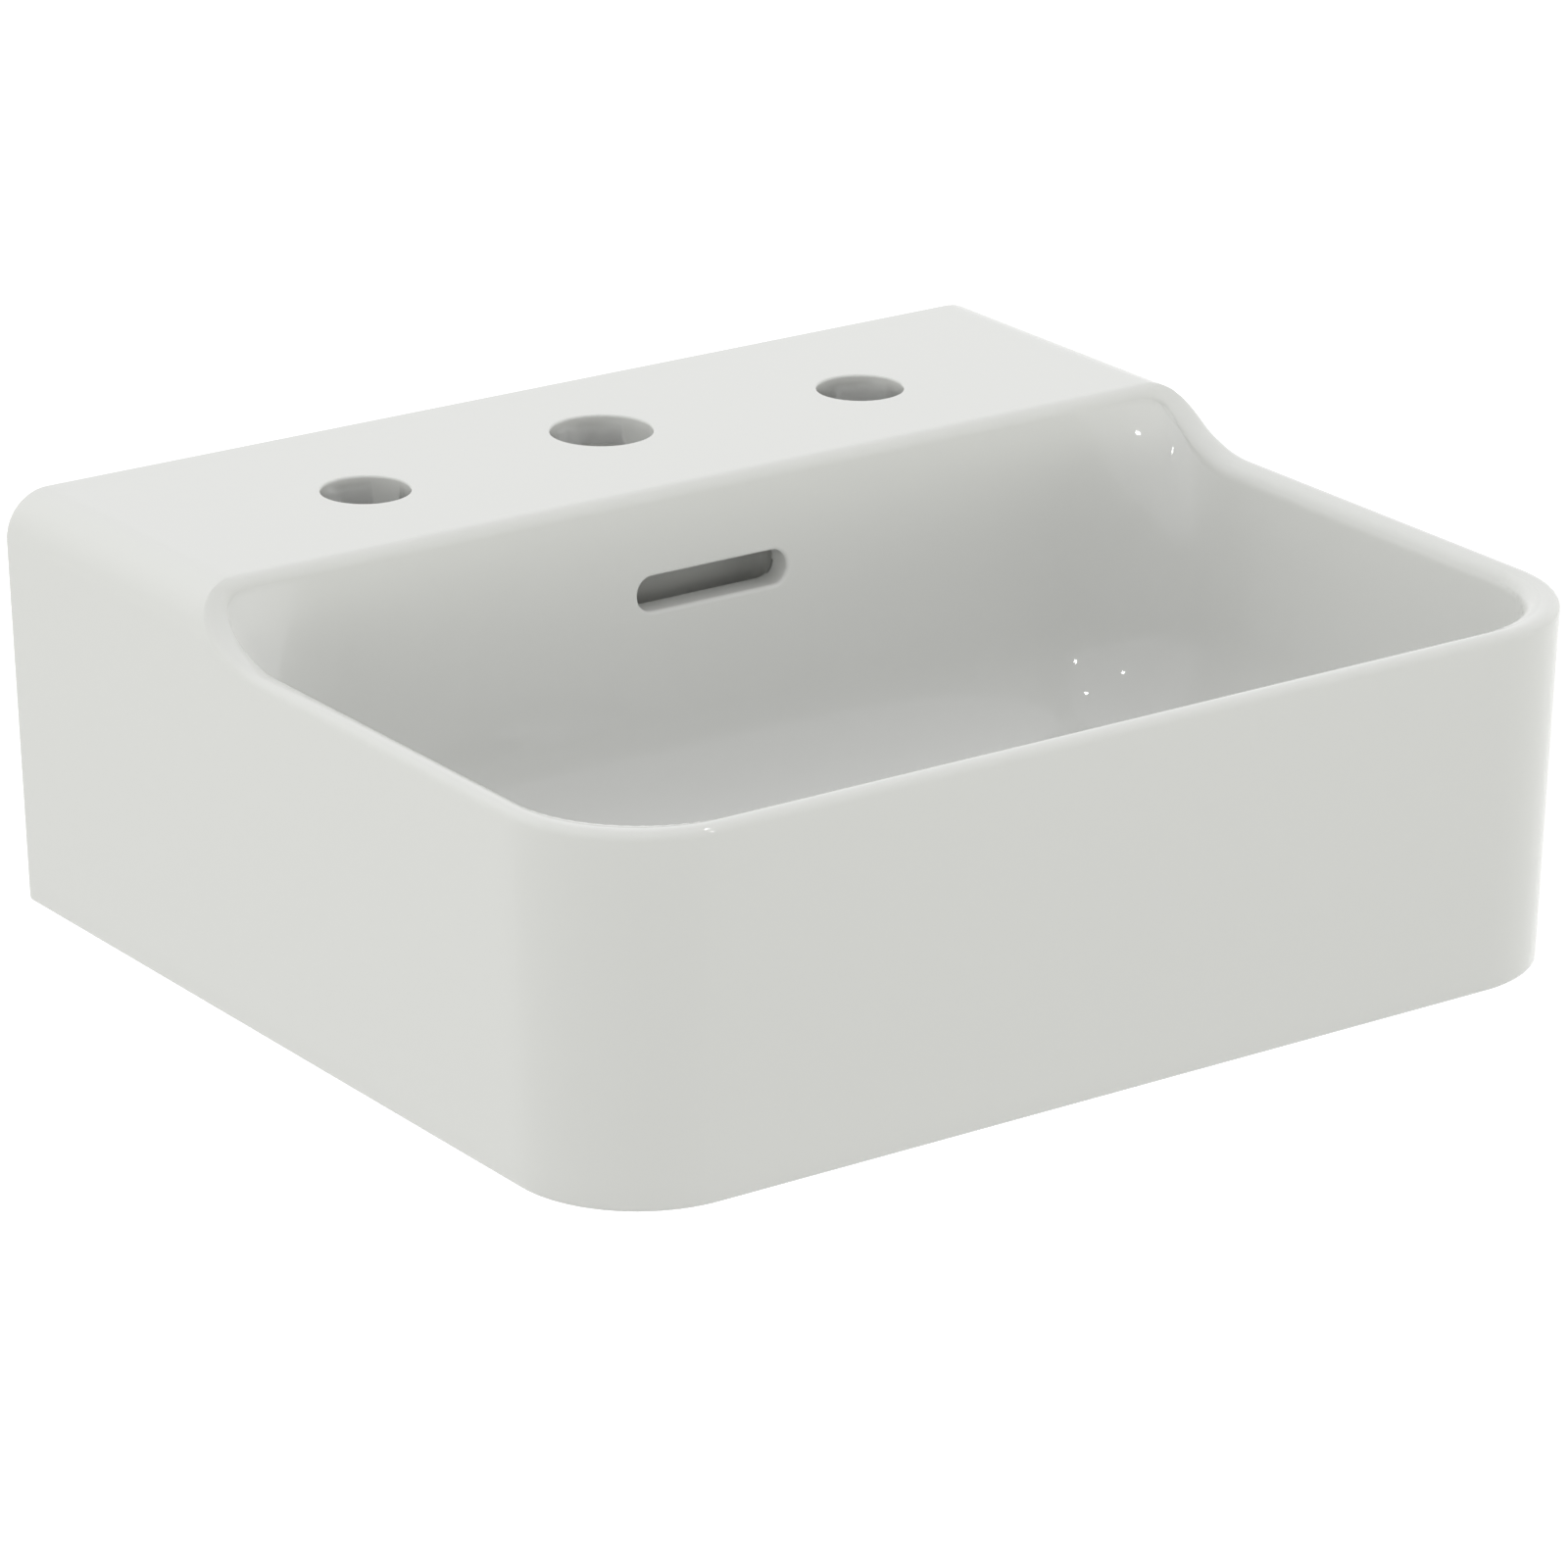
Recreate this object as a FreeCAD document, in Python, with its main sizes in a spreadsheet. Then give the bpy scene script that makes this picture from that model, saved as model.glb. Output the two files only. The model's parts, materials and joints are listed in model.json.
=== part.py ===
import FreeCAD, Part
import math
import os
import Sketcher

vec = FreeCAD.Vector
doc = FreeCAD.newDocument("hand_basin")
sheet = doc.addObject("Spreadsheet::Sheet", "sizes")

# Millimetres. Heights are above the foot, depths are out from the wall.
DIMENSIONS = {
    # Where widths, depths and heights are counted from
    "datum": 0,
    "basin_width": 400,
    "basin_depth": 350,
    "deck_height": 144,
    "rim_drop": 20,
    "side_draft": 4.5,
    "front_corner_radius": 48.5,
    "deck_edge_radius": 16,
    "rim_outer_radius": 3,
    "rim_inner_radius": 5.6,
    "back_edge_radius": 3,
    "foot_edge_radius": 2,
    "china_wall": 9,
    "deck_wall": 10,
    "back_wall": 12,
    # The step from the deck down to the rim, seen from the side
    "knee_depth": 119,
    "knee_radius": 4,
    # Keeps the knee from meeting the deck in a rounding of no width
    "knee_lift": 0.1,
    "slope_length": 8.7,
    "slope_fall": 12.4,
    "slope_foot_radius": 36,
    "rim_start_depth": 150,
    "rim_start_radius": 50,
    # The bowl
    "bowl_back_depth": 121,
    "bowl_floor_height": 30,
    "bowl_draft": 9,
    "bowl_back_draft": 4.5,
    "bowl_back_radius": 5,
    "bowl_front_radius": 40,
    "bowl_floor_plan_radius": 50,
    "bowl_floor_radius": 36,
    "bowl_turn_share": 0.75,
    "bowl_merge_share": 0.5,
    "floor_thickness": 10,
    "dish_radius": 58,
    "dish_fall": 1.5,
    # Tap holes
    "tap_spread": 200,
    "centre_tap_radius": 17.5,
    "side_tap_radius": 15,
    "centre_tap_depth": 56,
    "side_tap_depth": 66,
    "tap_hole_edge": 0.8,
    # Overflow
    "overflow_length": 60,
    "overflow_slot_height": 12,
    "overflow_height": 108.6,
    "overflow_edge": 1.5,
    "channel_width": 64,
    "channel_depth": 12,
    "shell_back_radius": 8,
    "duct_height": 10,
    "duct_narrow_share": 0.8,
    "slot_end_share": 0.96,
    # Wall fixings and pipe cut-out
    "fixing_spacing": 280,
    "fixing_height": 85,
    "fixing_hole_radius": 8,
    "fixing_pad_radius": 17,
    "fixing_pad_depth": 6,
    "pipe_opening_width": 190,
    "pipe_opening_height": 62,
    "pipe_opening_radius": 20,
    # Outlet in the bowl
    "outlet_depth": 228,
    "outlet_radius": 23,
    "outlet_boss_radius": 38,
    "flange_recess_depth": 4.5,
    # Waste fitting
    "flange_radius": 31.5,
    "flange_edge": 3,
    "flange_lip_radius": 1,
    "flange_gap": 1,
    "flange_seal_height": 1.5,
    "tail_radius": 20.95,
    "tail_bore_radius": 18.2,
    "tail_length": 70,
    "tail_chamfer": 1,
    "trap_thread_length": 21,
    "thread_relief_width": 2,
    "thread_relief_fall": 0.8,
    "throat_width": 1.8,
    "tail_slot_width": 24,
    "tail_slot_radius": 2.5,
    "thread_gap": 0.1,
    "seal_height": 8,
    "seal_nose_height": 3,
    "seal_radius": 30,
    "seal_bevel": 1,
    "slip_washer_height": 1.5,
    "back_nut_height": 10,
    "back_nut_flats": 56,
    "back_nut_face_chamfer": 1.5,
    "bridge_height": 6,
    "bridge_width": 9,
    "bridge_boss_radius": 8,
    "bridge_drop": 40,
    "stud_radius": 4,
    # Click cartridge and plug
    "plug_travel": 9,
    "sleeve_radius": 9,
    "sleeve_bore_radius": 7,
    "sleeve_floor": 3,
    "sleeve_cap_height": 3,
    "sleeve_cap_edge": 0.75,
    "stem_radius": 3,
    "running_gap": 0.3,
    "cam_face_gap": 0.1,
    "plunger_height": 7,
    "cam_ring_height": 4,
    "cam_tooth_height": 1.5,
    "cam_tooth_count": 4,
    "spring_wire_radius": 0.45,
    "spring_wire_sides": 8,
    "spring_turns": 6,
    "spring_gap": 0.5,
    "cap_radius": 30.5,
    "cap_edge": 2.2,
    "cap_rim_radius": 0.7,
    "cap_under_bevel": 0.5,
    "cap_dome": 3,
    "cap_dome_radius": 130,
    "gasket_height": 3,
    "gasket_edge": 0.75,
    "seal_washer_radius": 14,
    "seal_washer_height": 1,
    "lock_nut_flats": 10,
    "lock_nut_height": 3,
    "lock_nut_chamfer": 0.6,
    # How far a cut runs on past what it cuts, and how near counts as the same place
    "cut_overrun": 5,
    "match_gap": 0.01,
}


class Size:
    """A number kept together with the sheet formula that gives it."""

    def __init__(self, value, formula):
        self.value = value
        self.formula = formula

    def join(self, other, sign, value):
        return Size(value, "(%s %s %s)" % (self.formula, sign, as_size(other).formula))

    def __add__(self, other):
        return self.join(other, "+", self.value + as_size(other).value)

    def __sub__(self, other):
        return self.join(other, "-", self.value - as_size(other).value)

    def __mul__(self, other):
        return self.join(other, "*", self.value * as_size(other).value)

    def __truediv__(self, other):
        return self.join(other, "/", self.value / as_size(other).value)

    def __neg__(self):
        return as_size(0) - self


def as_size(number):
    if isinstance(number, Size):
        return number
    return Size(float(number), repr(number))


class Sizes:
    """Every cell of the sheet, by its alias."""

    def __init__(self, table):
        for row, (alias, number) in enumerate(table.items(), start=1):
            sheet.set("A%d" % row, alias)
            sheet.set("B%d" % row, str(number))
            sheet.setAlias("B%d" % row, alias)
            setattr(self, alias, Size(float(number), "sizes." + alias))


size = Sizes(DIMENSIONS)
doc.recompute()
zero = size.datum
hair = size.match_gap.value


def bind(item, name, amount):
    """Set a property from the sheet and keep it tied there."""
    amount = as_size(amount)
    if "sizes." in amount.formula:
        item.setExpression(name, amount.formula)
    else:
        setattr(item, name, amount.value)


def new_body(label, depth=zero):
    """A body that stands out from the wall, in the frame of the wall fixings."""
    body = doc.addObject("PartDesign::Body", label)
    body.Label = label
    bind(body, "Placement.Base.x", zero)
    bind(body, "Placement.Base.y", -depth)
    bind(body, "Placement.Base.z", -size.fixing_height)
    return body


def plane(body, role):
    return next(item for item in body.Origin.OriginFeatures if item.Role == role)


def sketch_on(body, name, role, offset=zero):
    """A sketch on one of the body's own planes, moved along the plane's normal."""
    sketch = body.newObject("Sketcher::SketchObject", name)
    sketch.AttachmentSupport = [(plane(body, role), "")]
    sketch.MapMode = "FlatFace"
    bind(sketch, "AttachmentOffset.Base.z", offset)
    return sketch


def hold(sketch, kind, *where):
    """Add a constraint; a size at its end is tied to the sheet."""
    amount = where[-1] if isinstance(where[-1], Size) else None
    if amount is None:
        return sketch.addConstraint(Sketcher.Constraint(kind, *where))
    index = sketch.addConstraint(Sketcher.Constraint(kind, *where[:-1], amount.value))
    if "sizes." in amount.formula:
        sketch.setExpression("Constraints[%d]" % index, amount.formula)
    return index


def pin_point(sketch, item, end, x, y):
    hold(sketch, "DistanceX", -1, 1, item, end, as_size(x))
    hold(sketch, "DistanceY", -1, 1, item, end, as_size(y))


def corner_arc(before, corner, after, radius):
    """Tangent points, centre and turn side of the arc that rounds a corner."""
    into = (corner - before).normalize()
    out = (after - corner).normalize()
    turn = math.atan2(into.x * out.y - into.y * out.x, into.dot(out))
    reach = radius * math.tan(abs(turn) / 2)
    start = corner - into * reach
    end = corner + out * reach
    side = 1 if turn > 0 else -1
    centre = start + vec(-into.y, into.x, 0) * (radius * side)
    return start, end, centre, side


def outline(sketch, corners):
    """A closed outline of straight runs through (x, y, rounding) corners."""
    count = len(corners)
    points = [vec(as_size(x).value, as_size(y).value, 0) for x, y, _ in corners]
    arcs = []
    for index, (_, _, rounding) in enumerate(corners):
        radius = as_size(rounding).value
        before, after = points[index - 1], points[(index + 1) % count]
        arcs.append(corner_arc(before, points[index], after, radius) if radius else None)
    lines = []
    for index in range(count):
        ahead = (index + 1) % count
        start = arcs[index][1] if arcs[index] else points[index]
        end = arcs[ahead][0] if arcs[ahead] else points[ahead]
        lines.append(sketch.addGeometry(Part.LineSegment(start, end)))
    for index, (x, y, rounding) in enumerate(corners):
        before, after = lines[index - 1], lines[index]
        if arcs[index] is None:
            hold(sketch, "Coincident", before, 2, after, 1)
            pin_point(sketch, after, 1, x, y)
        else:
            round_corner(sketch, before, after, points[index], arcs[index], (x, y, rounding))


def round_corner(sketch, before, after, point, arc, corner):
    """An arc tangent to two runs, whose sharp corner stays where it is put."""
    start, end, centre, side = arc
    x, y, rounding = corner
    circle = Part.Circle(centre, vec(0, 0, 1), as_size(rounding).value)
    first, last = (start, end) if side > 0 else (end, start)
    angles = [math.atan2(p.y - centre.y, p.x - centre.x) for p in (first, last)]
    curve = sketch.addGeometry(Part.ArcOfCircle(circle, *angles))
    mark = sketch.addGeometry(Part.Point(point), True)
    pin_point(sketch, mark, 1, x, y)
    hold(sketch, "PointOnObject", mark, 1, before)
    hold(sketch, "PointOnObject", mark, 1, after)
    hold(sketch, "Tangent", before, 2, curve, 1 if side > 0 else 2)
    hold(sketch, "Tangent", after, 1, curve, 2 if side > 0 else 1)
    hold(sketch, "Radius", curve, as_size(rounding))


def circle_at(sketch, x, y, radius):
    spot = vec(as_size(x).value, as_size(y).value, 0)
    ring = sketch.addGeometry(Part.Circle(spot, vec(0, 0, 1), as_size(radius).value))
    pin_point(sketch, ring, 3, x, y)
    hold(sketch, "Radius", ring, as_size(radius))


def pad(body, name, sketch, length, reverse=False):
    feature = body.newObject("PartDesign::Pad", name)
    feature.Profile = sketch
    bind(feature, "Length", length)
    feature.Reversed = reverse
    return finish(body, feature, 1)


def pocket(body, name, sketch, length, reverse=False, both_ways=False):
    feature = body.newObject("PartDesign::Pocket", name)
    feature.Profile = sketch
    bind(feature, "Length", length)
    feature.Reversed = reverse
    feature.Midplane = both_ways
    return finish(body, feature, -1)


def loft(body, name, sketches, adds):
    kind = "PartDesign::AdditiveLoft" if adds else "PartDesign::SubtractiveLoft"
    feature = body.newObject(kind, name)
    feature.Profile = sketches[0]
    feature.Sections = sketches[1:]
    feature.Ruled = True
    feature.Refine = True
    return finish(body, feature, 1 if adds else -1)


def turned(body, name, sketch, adds=True):
    """A full turn of the sketch round its upright axis."""
    feature = body.newObject("PartDesign::" + ("Revolution" if adds else "Groove"), name)
    feature.Profile = sketch
    feature.ReferenceAxis = (sketch, ["V_Axis"])
    feature.Angle = 360
    return finish(body, feature, 1 if adds else -1)


def finish(body, feature, change):
    """Recompute, and stop if the feature didn't add or take away as it should."""
    before = feature.BaseFeature.Shape.Volume if feature.BaseFeature else 0
    doc.recompute()
    if "Invalid" in feature.State or feature.Shape.isNull():
        raise RuntimeError(body.Label + ": " + feature.Name + " failed")
    if (feature.Shape.Volume - before) * change <= 0:
        raise RuntimeError(body.Label + ": " + feature.Name + " changed nothing")
    return feature


def round_edges(body, name, edges, radius):
    """A rounding on the named edges of the body's tip."""
    base = body.Tip
    feature = body.newObject("PartDesign::Fillet", name)
    feature.Base = (base, edges)
    bind(feature, "Radius", radius)
    doc.recompute()
    if "Invalid" in feature.State or feature.Shape.isNull():
        raise RuntimeError(body.Label + ": " + feature.Name + " failed")
    return feature


def middle(edge):
    return edge.valueAt((edge.FirstParameter + edge.LastParameter) / 2)


def fold_angle(shape, edge):
    """Degrees between the two faces that meet at an edge."""
    point = middle(edge)
    normals = []
    for face in shape.ancestorsOfType(edge, Part.Face):
        normals.append(face.normalAt(*face.Surface.parameter(point)))
    return math.degrees(normals[0].getAngle(normals[1])) if len(normals) == 2 else 0


def edges_of(body, test):
    """Names of the tip's edges that pass a test."""
    return ["Edge%d" % number for number, edge in enumerate(body.Tip.Shape.Edges, start=1)
            if test(edge)]


def at_level(shape, height):
    return shape.BoundBox.ZMin > height.value - hair and shape.BoundBox.ZMax < height.value + hair


def shell_outline(body, name, height, half_width, back, front, radius):
    """Square at the wall, rounded at the two front corners."""
    sketch = sketch_on(body, name, "XY_Plane", height)
    outline(sketch, [
        (-half_width, -back, 0),
        (-half_width, -front, radius),
        (half_width, -front, radius),
        (half_width, -back, 0),
    ])
    return sketch


def bowl_outline(body, name, height, half_width, back, front, back_radius, front_radius):
    """Rounded at all four corners."""
    sketch = sketch_on(body, name, "XY_Plane", height)
    outline(sketch, [
        (-half_width, -back, back_radius),
        (-half_width, -front, front_radius),
        (half_width, -front, front_radius),
        (half_width, -back, back_radius),
    ])
    return sketch


# Degrees: two faces that meet at less are taken as one smooth run.
smallest_fold = 2

half = size.basin_width / 2
rim_height = size.deck_height - size.rim_drop
void_top = size.deck_height - size.deck_wall
floor_underside = size.bowl_floor_height - size.floor_thickness
rim_half = half - size.china_wall
rim_front = size.basin_depth - size.china_wall
channel_front = size.bowl_back_depth - size.china_wall
channel_back = channel_front - size.channel_depth
duct_half = size.channel_width / 2
duct_bottom = floor_underside - size.duct_height
dish_level = size.bowl_floor_height - size.dish_fall
seat_level = dish_level - size.flange_recess_depth


def china_block(body):
    """The drafted outer form, full height, cut flat where it meets the wall."""
    behind = -size.cut_overrun
    foot = shell_outline(body, "foot_outline", zero, half - size.side_draft, behind,
                         size.basin_depth - size.side_draft, size.front_corner_radius)
    top = shell_outline(body, "deck_outline", size.deck_height, half, behind,
                        size.basin_depth, size.front_corner_radius)
    loft(body, "outer_form", [top, foot], True)
    wall = sketch_on(body, "wall_outline", "XZ_Plane")
    outline(wall, [
        (-size.basin_width, behind, 0),
        (size.basin_width, behind, 0),
        (size.basin_width, size.deck_height - behind, 0),
        (-size.basin_width, size.deck_height - behind, 0),
    ])
    pocket(body, "wall_cut", wall, size.cut_overrun * 2)


def china_void(body):
    """The open space under the deck and round the bowl."""
    radius = size.front_corner_radius - size.china_wall
    foot = shell_outline(body, "void_foot_outline", zero, rim_half - size.side_draft,
                         size.back_wall, rim_front - size.side_draft, radius)
    top = shell_outline(body, "void_top_outline", void_top, rim_half, size.back_wall,
                        rim_front, radius)
    loft(body, "underside_void", [top, foot], False)


def china_bowl_shell(body):
    """The outside of the bowl, with a chamfered turn under the floor."""
    inset = size.bowl_floor_radius * size.bowl_turn_share
    out = size.china_wall * size.bowl_merge_share
    back_radius = size.shell_back_radius
    front_radius = size.bowl_front_radius + size.china_wall
    floor_radius = size.bowl_floor_plan_radius
    foot = bowl_outline(body, "shell_floor_outline", floor_underside, rim_half - inset,
                        channel_front + inset, rim_front - inset, floor_radius, floor_radius)
    turn = bowl_outline(body, "shell_turn_outline", floor_underside + inset, rim_half,
                        channel_front, rim_front, back_radius, front_radius)
    top = bowl_outline(body, "shell_top_outline", size.deck_height, rim_half + out,
                       channel_front, rim_front + out, back_radius, front_radius)
    loft(body, "bowl_shell", [top, turn, foot], True)


def china_waterways(body):
    """The casing of the overflow channel, its duct under the floor and the outlet boss."""
    casing_half = duct_half + size.china_wall
    casing = sketch_on(body, "channel_casing_outline", "XY_Plane")
    outline(casing, [
        (-casing_half, -(channel_back - size.china_wall), 0),
        (-casing_half, -(channel_front + size.bowl_floor_radius), 0),
        (-size.outlet_boss_radius, -size.outlet_depth, 0),
        (size.outlet_boss_radius, -size.outlet_depth, 0),
        (casing_half, -(channel_front + size.bowl_floor_radius), 0),
        (casing_half, -(channel_back - size.china_wall), 0),
    ])
    pad(body, "duct_casing", casing, floor_underside + size.floor_thickness / 2)
    column = sketch_on(body, "channel_column_outline", "XY_Plane")
    outline(column, [
        (-casing_half, -(channel_back - size.china_wall), 0),
        (-casing_half, -channel_front, 0),
        (casing_half, -channel_front, 0),
        (casing_half, -(channel_back - size.china_wall), 0),
    ])
    pad(body, "channel_casing", column, void_top)
    boss = sketch_on(body, "outlet_boss_outline", "XY_Plane")
    circle_at(boss, 0, -size.outlet_depth, size.outlet_boss_radius)
    pad(body, "outlet_boss", boss, floor_underside + size.floor_thickness / 2)


def china_fixing_pads(body):
    """Thicker china behind the two wall bolts."""
    pads = sketch_on(body, "fixing_pad_outline", "XZ_Plane", size.back_wall / 2)
    for side in (-1, 1):
        circle_at(pads, size.fixing_spacing / 2 * side, size.fixing_height,
                  size.fixing_pad_radius)
    pad(body, "fixing_pads", pads, size.back_wall / 2 + size.fixing_pad_depth)


def china_deck_edge(body):
    """The large rounding along the ends of the deck."""
    names = edges_of(body, lambda edge: at_level(edge, size.deck_height)
                     and abs(middle(edge).x) > hair)
    round_edges(body, "deck_edge_rounding", names, size.deck_edge_radius)


def china_step(body):
    """The sweep from the deck down to the rim, cut from the side."""
    above = size.deck_height + size.cut_overrun
    beyond = size.basin_depth + size.cut_overrun
    side = sketch_on(body, "step_profile", "YZ_Plane")
    knee = size.knee_depth
    knee_top = size.deck_height + size.knee_lift
    outline(side, [
        (-(knee - size.knee_radius), knee_top, 0),
        (-knee, knee_top, size.knee_radius),
        (-(knee + size.slope_length), size.deck_height - size.slope_fall,
         size.slope_foot_radius),
        (-size.rim_start_depth, rim_height, size.rim_start_radius),
        (-beyond, rim_height, 0),
        (-beyond, above, 0),
        (-(knee - size.knee_radius), above, 0),
    ])
    pocket(body, "step_cut", side, size.basin_width + size.cut_overrun, both_ways=True)


def bowl_core():
    """The shape of the bowl's inside, in the china's own frame."""
    core = doc.addObject("PartDesign::Body", "bowl_core")
    draft = size.bowl_draft
    plan_radius = size.bowl_floor_plan_radius
    floor = bowl_outline(core, "bowl_floor_outline", size.bowl_floor_height,
                         rim_half - draft, size.bowl_back_depth + size.bowl_back_draft,
                         rim_front - draft, plan_radius, plan_radius)
    top = bowl_outline(core, "bowl_rim_outline", size.deck_height + size.cut_overrun,
                       rim_half, size.bowl_back_depth, rim_front, size.bowl_back_radius,
                       size.bowl_front_radius)
    loft(core, "bowl_form", [top, floor], True)
    names = edges_of(core, lambda edge: at_level(edge, size.bowl_floor_height))
    round_edges(core, "bowl_floor_rounding", names, size.bowl_floor_radius)
    return core


def china_bowl(body):
    """Take the bowl out of the china."""
    cut = body.newObject("PartDesign::Boolean", "bowl_inside")
    cut.setObjects([bowl_core()])
    cut.Type = "Cut"
    body.Tip = cut
    doc.recompute()


def china_rim_edges(body):
    """The small glazed rounding on both edges of the rim and along the deck's front."""
    core = doc.getObject("bowl_core").Shape

    def on_rim(edge, inner):
        if edge.BoundBox.ZMin < rim_height.value - hair \
                or edge.BoundBox.YMax > -channel_front.value - hair:
            return False
        touches = core.distToShape(Part.Vertex(middle(edge)))[0] < hair
        return touches == inner and fold_angle(body.Tip.Shape, edge) > smallest_fold

    outer = edges_of(body, lambda edge: on_rim(edge, False))
    round_edges(body, "rim_outer_rounding", outer, size.rim_outer_radius)
    inner = edges_of(body, lambda edge: on_rim(edge, True))
    round_edges(body, "rim_inner_rounding", inner, size.rim_inner_radius)


def china_back_and_foot_edges(body):
    """The top edge along the wall and the outer edge of the foot."""
    names = edges_of(body, lambda edge: at_level(edge, size.deck_height)
                     and edge.BoundBox.YMin > -hair)
    round_edges(body, "back_edge_rounding", names, size.back_edge_radius)
    feet = [face for face in body.Tip.Shape.Faces if at_level(face, zero)]
    around = max(feet, key=lambda face: face.BoundBox.XLength).OuterWire.Edges
    names = edges_of(body, lambda edge: any(edge.isSame(other) for other in around))
    round_edges(body, "foot_edge_rounding", names, size.foot_edge_radius)


def china_outlet(body):
    """The shallow dish, the seat of the flange and the hole down through the boss."""
    seat_radius = size.flange_radius + size.flange_gap
    above = size.bowl_floor_height + size.cut_overrun
    side = sketch_on(body, "outlet_profile", "XZ_Plane", size.outlet_depth)
    outline(side, [
        (0, above, 0),
        (0, -size.cut_overrun, 0),
        (size.outlet_radius, -size.cut_overrun, 0),
        (size.outlet_radius, seat_level, 0),
        (seat_radius, seat_level, 0),
        (seat_radius, dish_level, 0),
        (size.dish_radius, size.bowl_floor_height, 0),
        (size.dish_radius, above, 0),
    ])
    turned(body, "outlet_dish", side, adds=False)


def china_overflow_way(body):
    """The upright channel behind the bowl and its duct to the outlet."""
    channel_top = size.overflow_height + size.overflow_slot_height
    duct = sketch_on(body, "duct_outline", "XY_Plane", floor_underside)
    outline(duct, [
        (-duct_half, -channel_back, size.duct_height / 2),
        (-duct_half, -(channel_front + size.bowl_floor_radius), 0),
        (-size.outlet_radius * size.duct_narrow_share, -size.outlet_depth, 0),
        (size.outlet_radius * size.duct_narrow_share, -size.outlet_depth, 0),
        (duct_half, -(channel_front + size.bowl_floor_radius), 0),
        (duct_half, -channel_back, size.duct_height / 2),
    ])
    pocket(body, "duct_cut", duct, size.duct_height)
    channel = sketch_on(body, "channel_outline", "XY_Plane", channel_top)
    outline(channel, [
        (-duct_half, -channel_back, size.duct_height / 2),
        (-duct_half, -channel_front, 0),
        (duct_half, -channel_front, 0),
        (duct_half, -channel_back, size.duct_height / 2),
    ])
    pocket(body, "channel_cut", channel, channel_top - duct_bottom)


def china_overflow_slot(body):
    """The slot in the back of the bowl, its edge eased."""
    slot = sketch_on(body, "overflow_slot_outline", "XZ_Plane",
                     channel_front - size.channel_depth / 2)
    reach = size.overflow_length / 2
    rise = size.overflow_slot_height / 2
    rounding = rise * size.slot_end_share
    outline(slot, [
        (-reach, size.overflow_height - rise, rounding),
        (reach, size.overflow_height - rise, rounding),
        (reach, size.overflow_height + rise, rounding),
        (-reach, size.overflow_height + rise, rounding),
    ])
    pocket(body, "overflow_slot", slot, size.bowl_back_depth - channel_front
           + size.channel_depth + size.cut_overrun, reverse=True)
    low = (size.overflow_height - rise).value - hair
    high = (size.overflow_height + rise).value + hair
    names = edges_of(body, lambda edge: edge.BoundBox.ZMin > low
                     and edge.BoundBox.ZMax < high
                     and edge.BoundBox.YMax < -size.bowl_back_depth.value)
    round_edges(body, "overflow_edge", names, size.overflow_edge)


def china_tap_holes(body):
    """Three holes through the deck, each with its edge eased."""
    holes = sketch_on(body, "tap_hole_outline", "XY_Plane", size.deck_height)
    circle_at(holes, 0, -size.centre_tap_depth, size.centre_tap_radius)
    for side in (-1, 1):
        circle_at(holes, size.tap_spread / 2 * side, -size.side_tap_depth,
                  size.side_tap_radius)
    pocket(body, "tap_holes", holes, size.deck_wall + size.cut_overrun)
    names = edges_of(body, lambda edge: at_level(edge, size.deck_height) and edge.Closed)
    round_edges(body, "tap_hole_edges", names, size.tap_hole_edge)


def china_back_cuts(body):
    """The wall bolt holes and the opening for the pipes."""
    holes = sketch_on(body, "fixing_hole_outline", "XZ_Plane")
    for side in (-1, 1):
        circle_at(holes, size.fixing_spacing / 2 * side, size.fixing_height,
                  size.fixing_hole_radius)
    through = size.back_wall + size.fixing_pad_depth + size.cut_overrun
    pocket(body, "fixing_holes", holes, through, reverse=True)
    pipes = sketch_on(body, "pipe_opening_outline", "XZ_Plane")
    reach = size.pipe_opening_width / 2
    outline(pipes, [
        (-reach, -size.cut_overrun, 0),
        (reach, -size.cut_overrun, 0),
        (reach, size.pipe_opening_height, size.pipe_opening_radius),
        (-reach, size.pipe_opening_height, size.pipe_opening_radius),
    ])
    pocket(body, "pipe_opening", pipes, size.back_wall + size.cut_overrun, reverse=True)


def make_basin_china():
    body = new_body("basin_china")
    for step in (china_block, china_void, china_bowl_shell, china_waterways,
                 china_fixing_pads, china_deck_edge, china_step, china_bowl,
                 china_rim_edges, china_back_and_foot_edges, china_outlet,
                 china_overflow_way, china_overflow_slot, china_tap_holes,
                 china_back_cuts):
        step(body)
    return body


flange_bottom = seat_level + size.flange_seal_height
flange_top = flange_bottom + size.flange_edge
tail_bottom = flange_bottom - size.tail_length
relief_bottom = tail_bottom + size.trap_thread_length
relief_top = relief_bottom + size.thread_relief_width
bridge_bottom = duct_bottom - size.bridge_drop
bridge_top = bridge_bottom + size.bridge_height
cap_level = flange_top + size.flange_gap + size.plug_travel
throat_radius = size.tail_bore_radius + size.throat_width
throat_bottom = flange_top + size.flange_gap - size.gasket_height - size.running_gap


def new_waste_body(label):
    """A body on the outlet's centre line."""
    return new_body(label, size.outlet_depth)


def ring(label, inner, outer, bottom, top, bevel=None):
    """A turned ring, with its outer edges bevelled where asked."""
    body = new_waste_body(label)
    side = sketch_on(body, label + "_profile", "XZ_Plane")
    rim = [(outer, bottom, 0), (outer, top, 0)]
    if bevel is not None:
        rim = [(outer - bevel, bottom, 0), (outer, bottom + bevel, 0),
               (outer, top - bevel, 0), (outer - bevel, top, 0)]
    outline(side, [(inner, bottom, 0)] + rim + [(inner, top, 0)])
    turned(body, label + "_turned", side)
    return body


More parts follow.
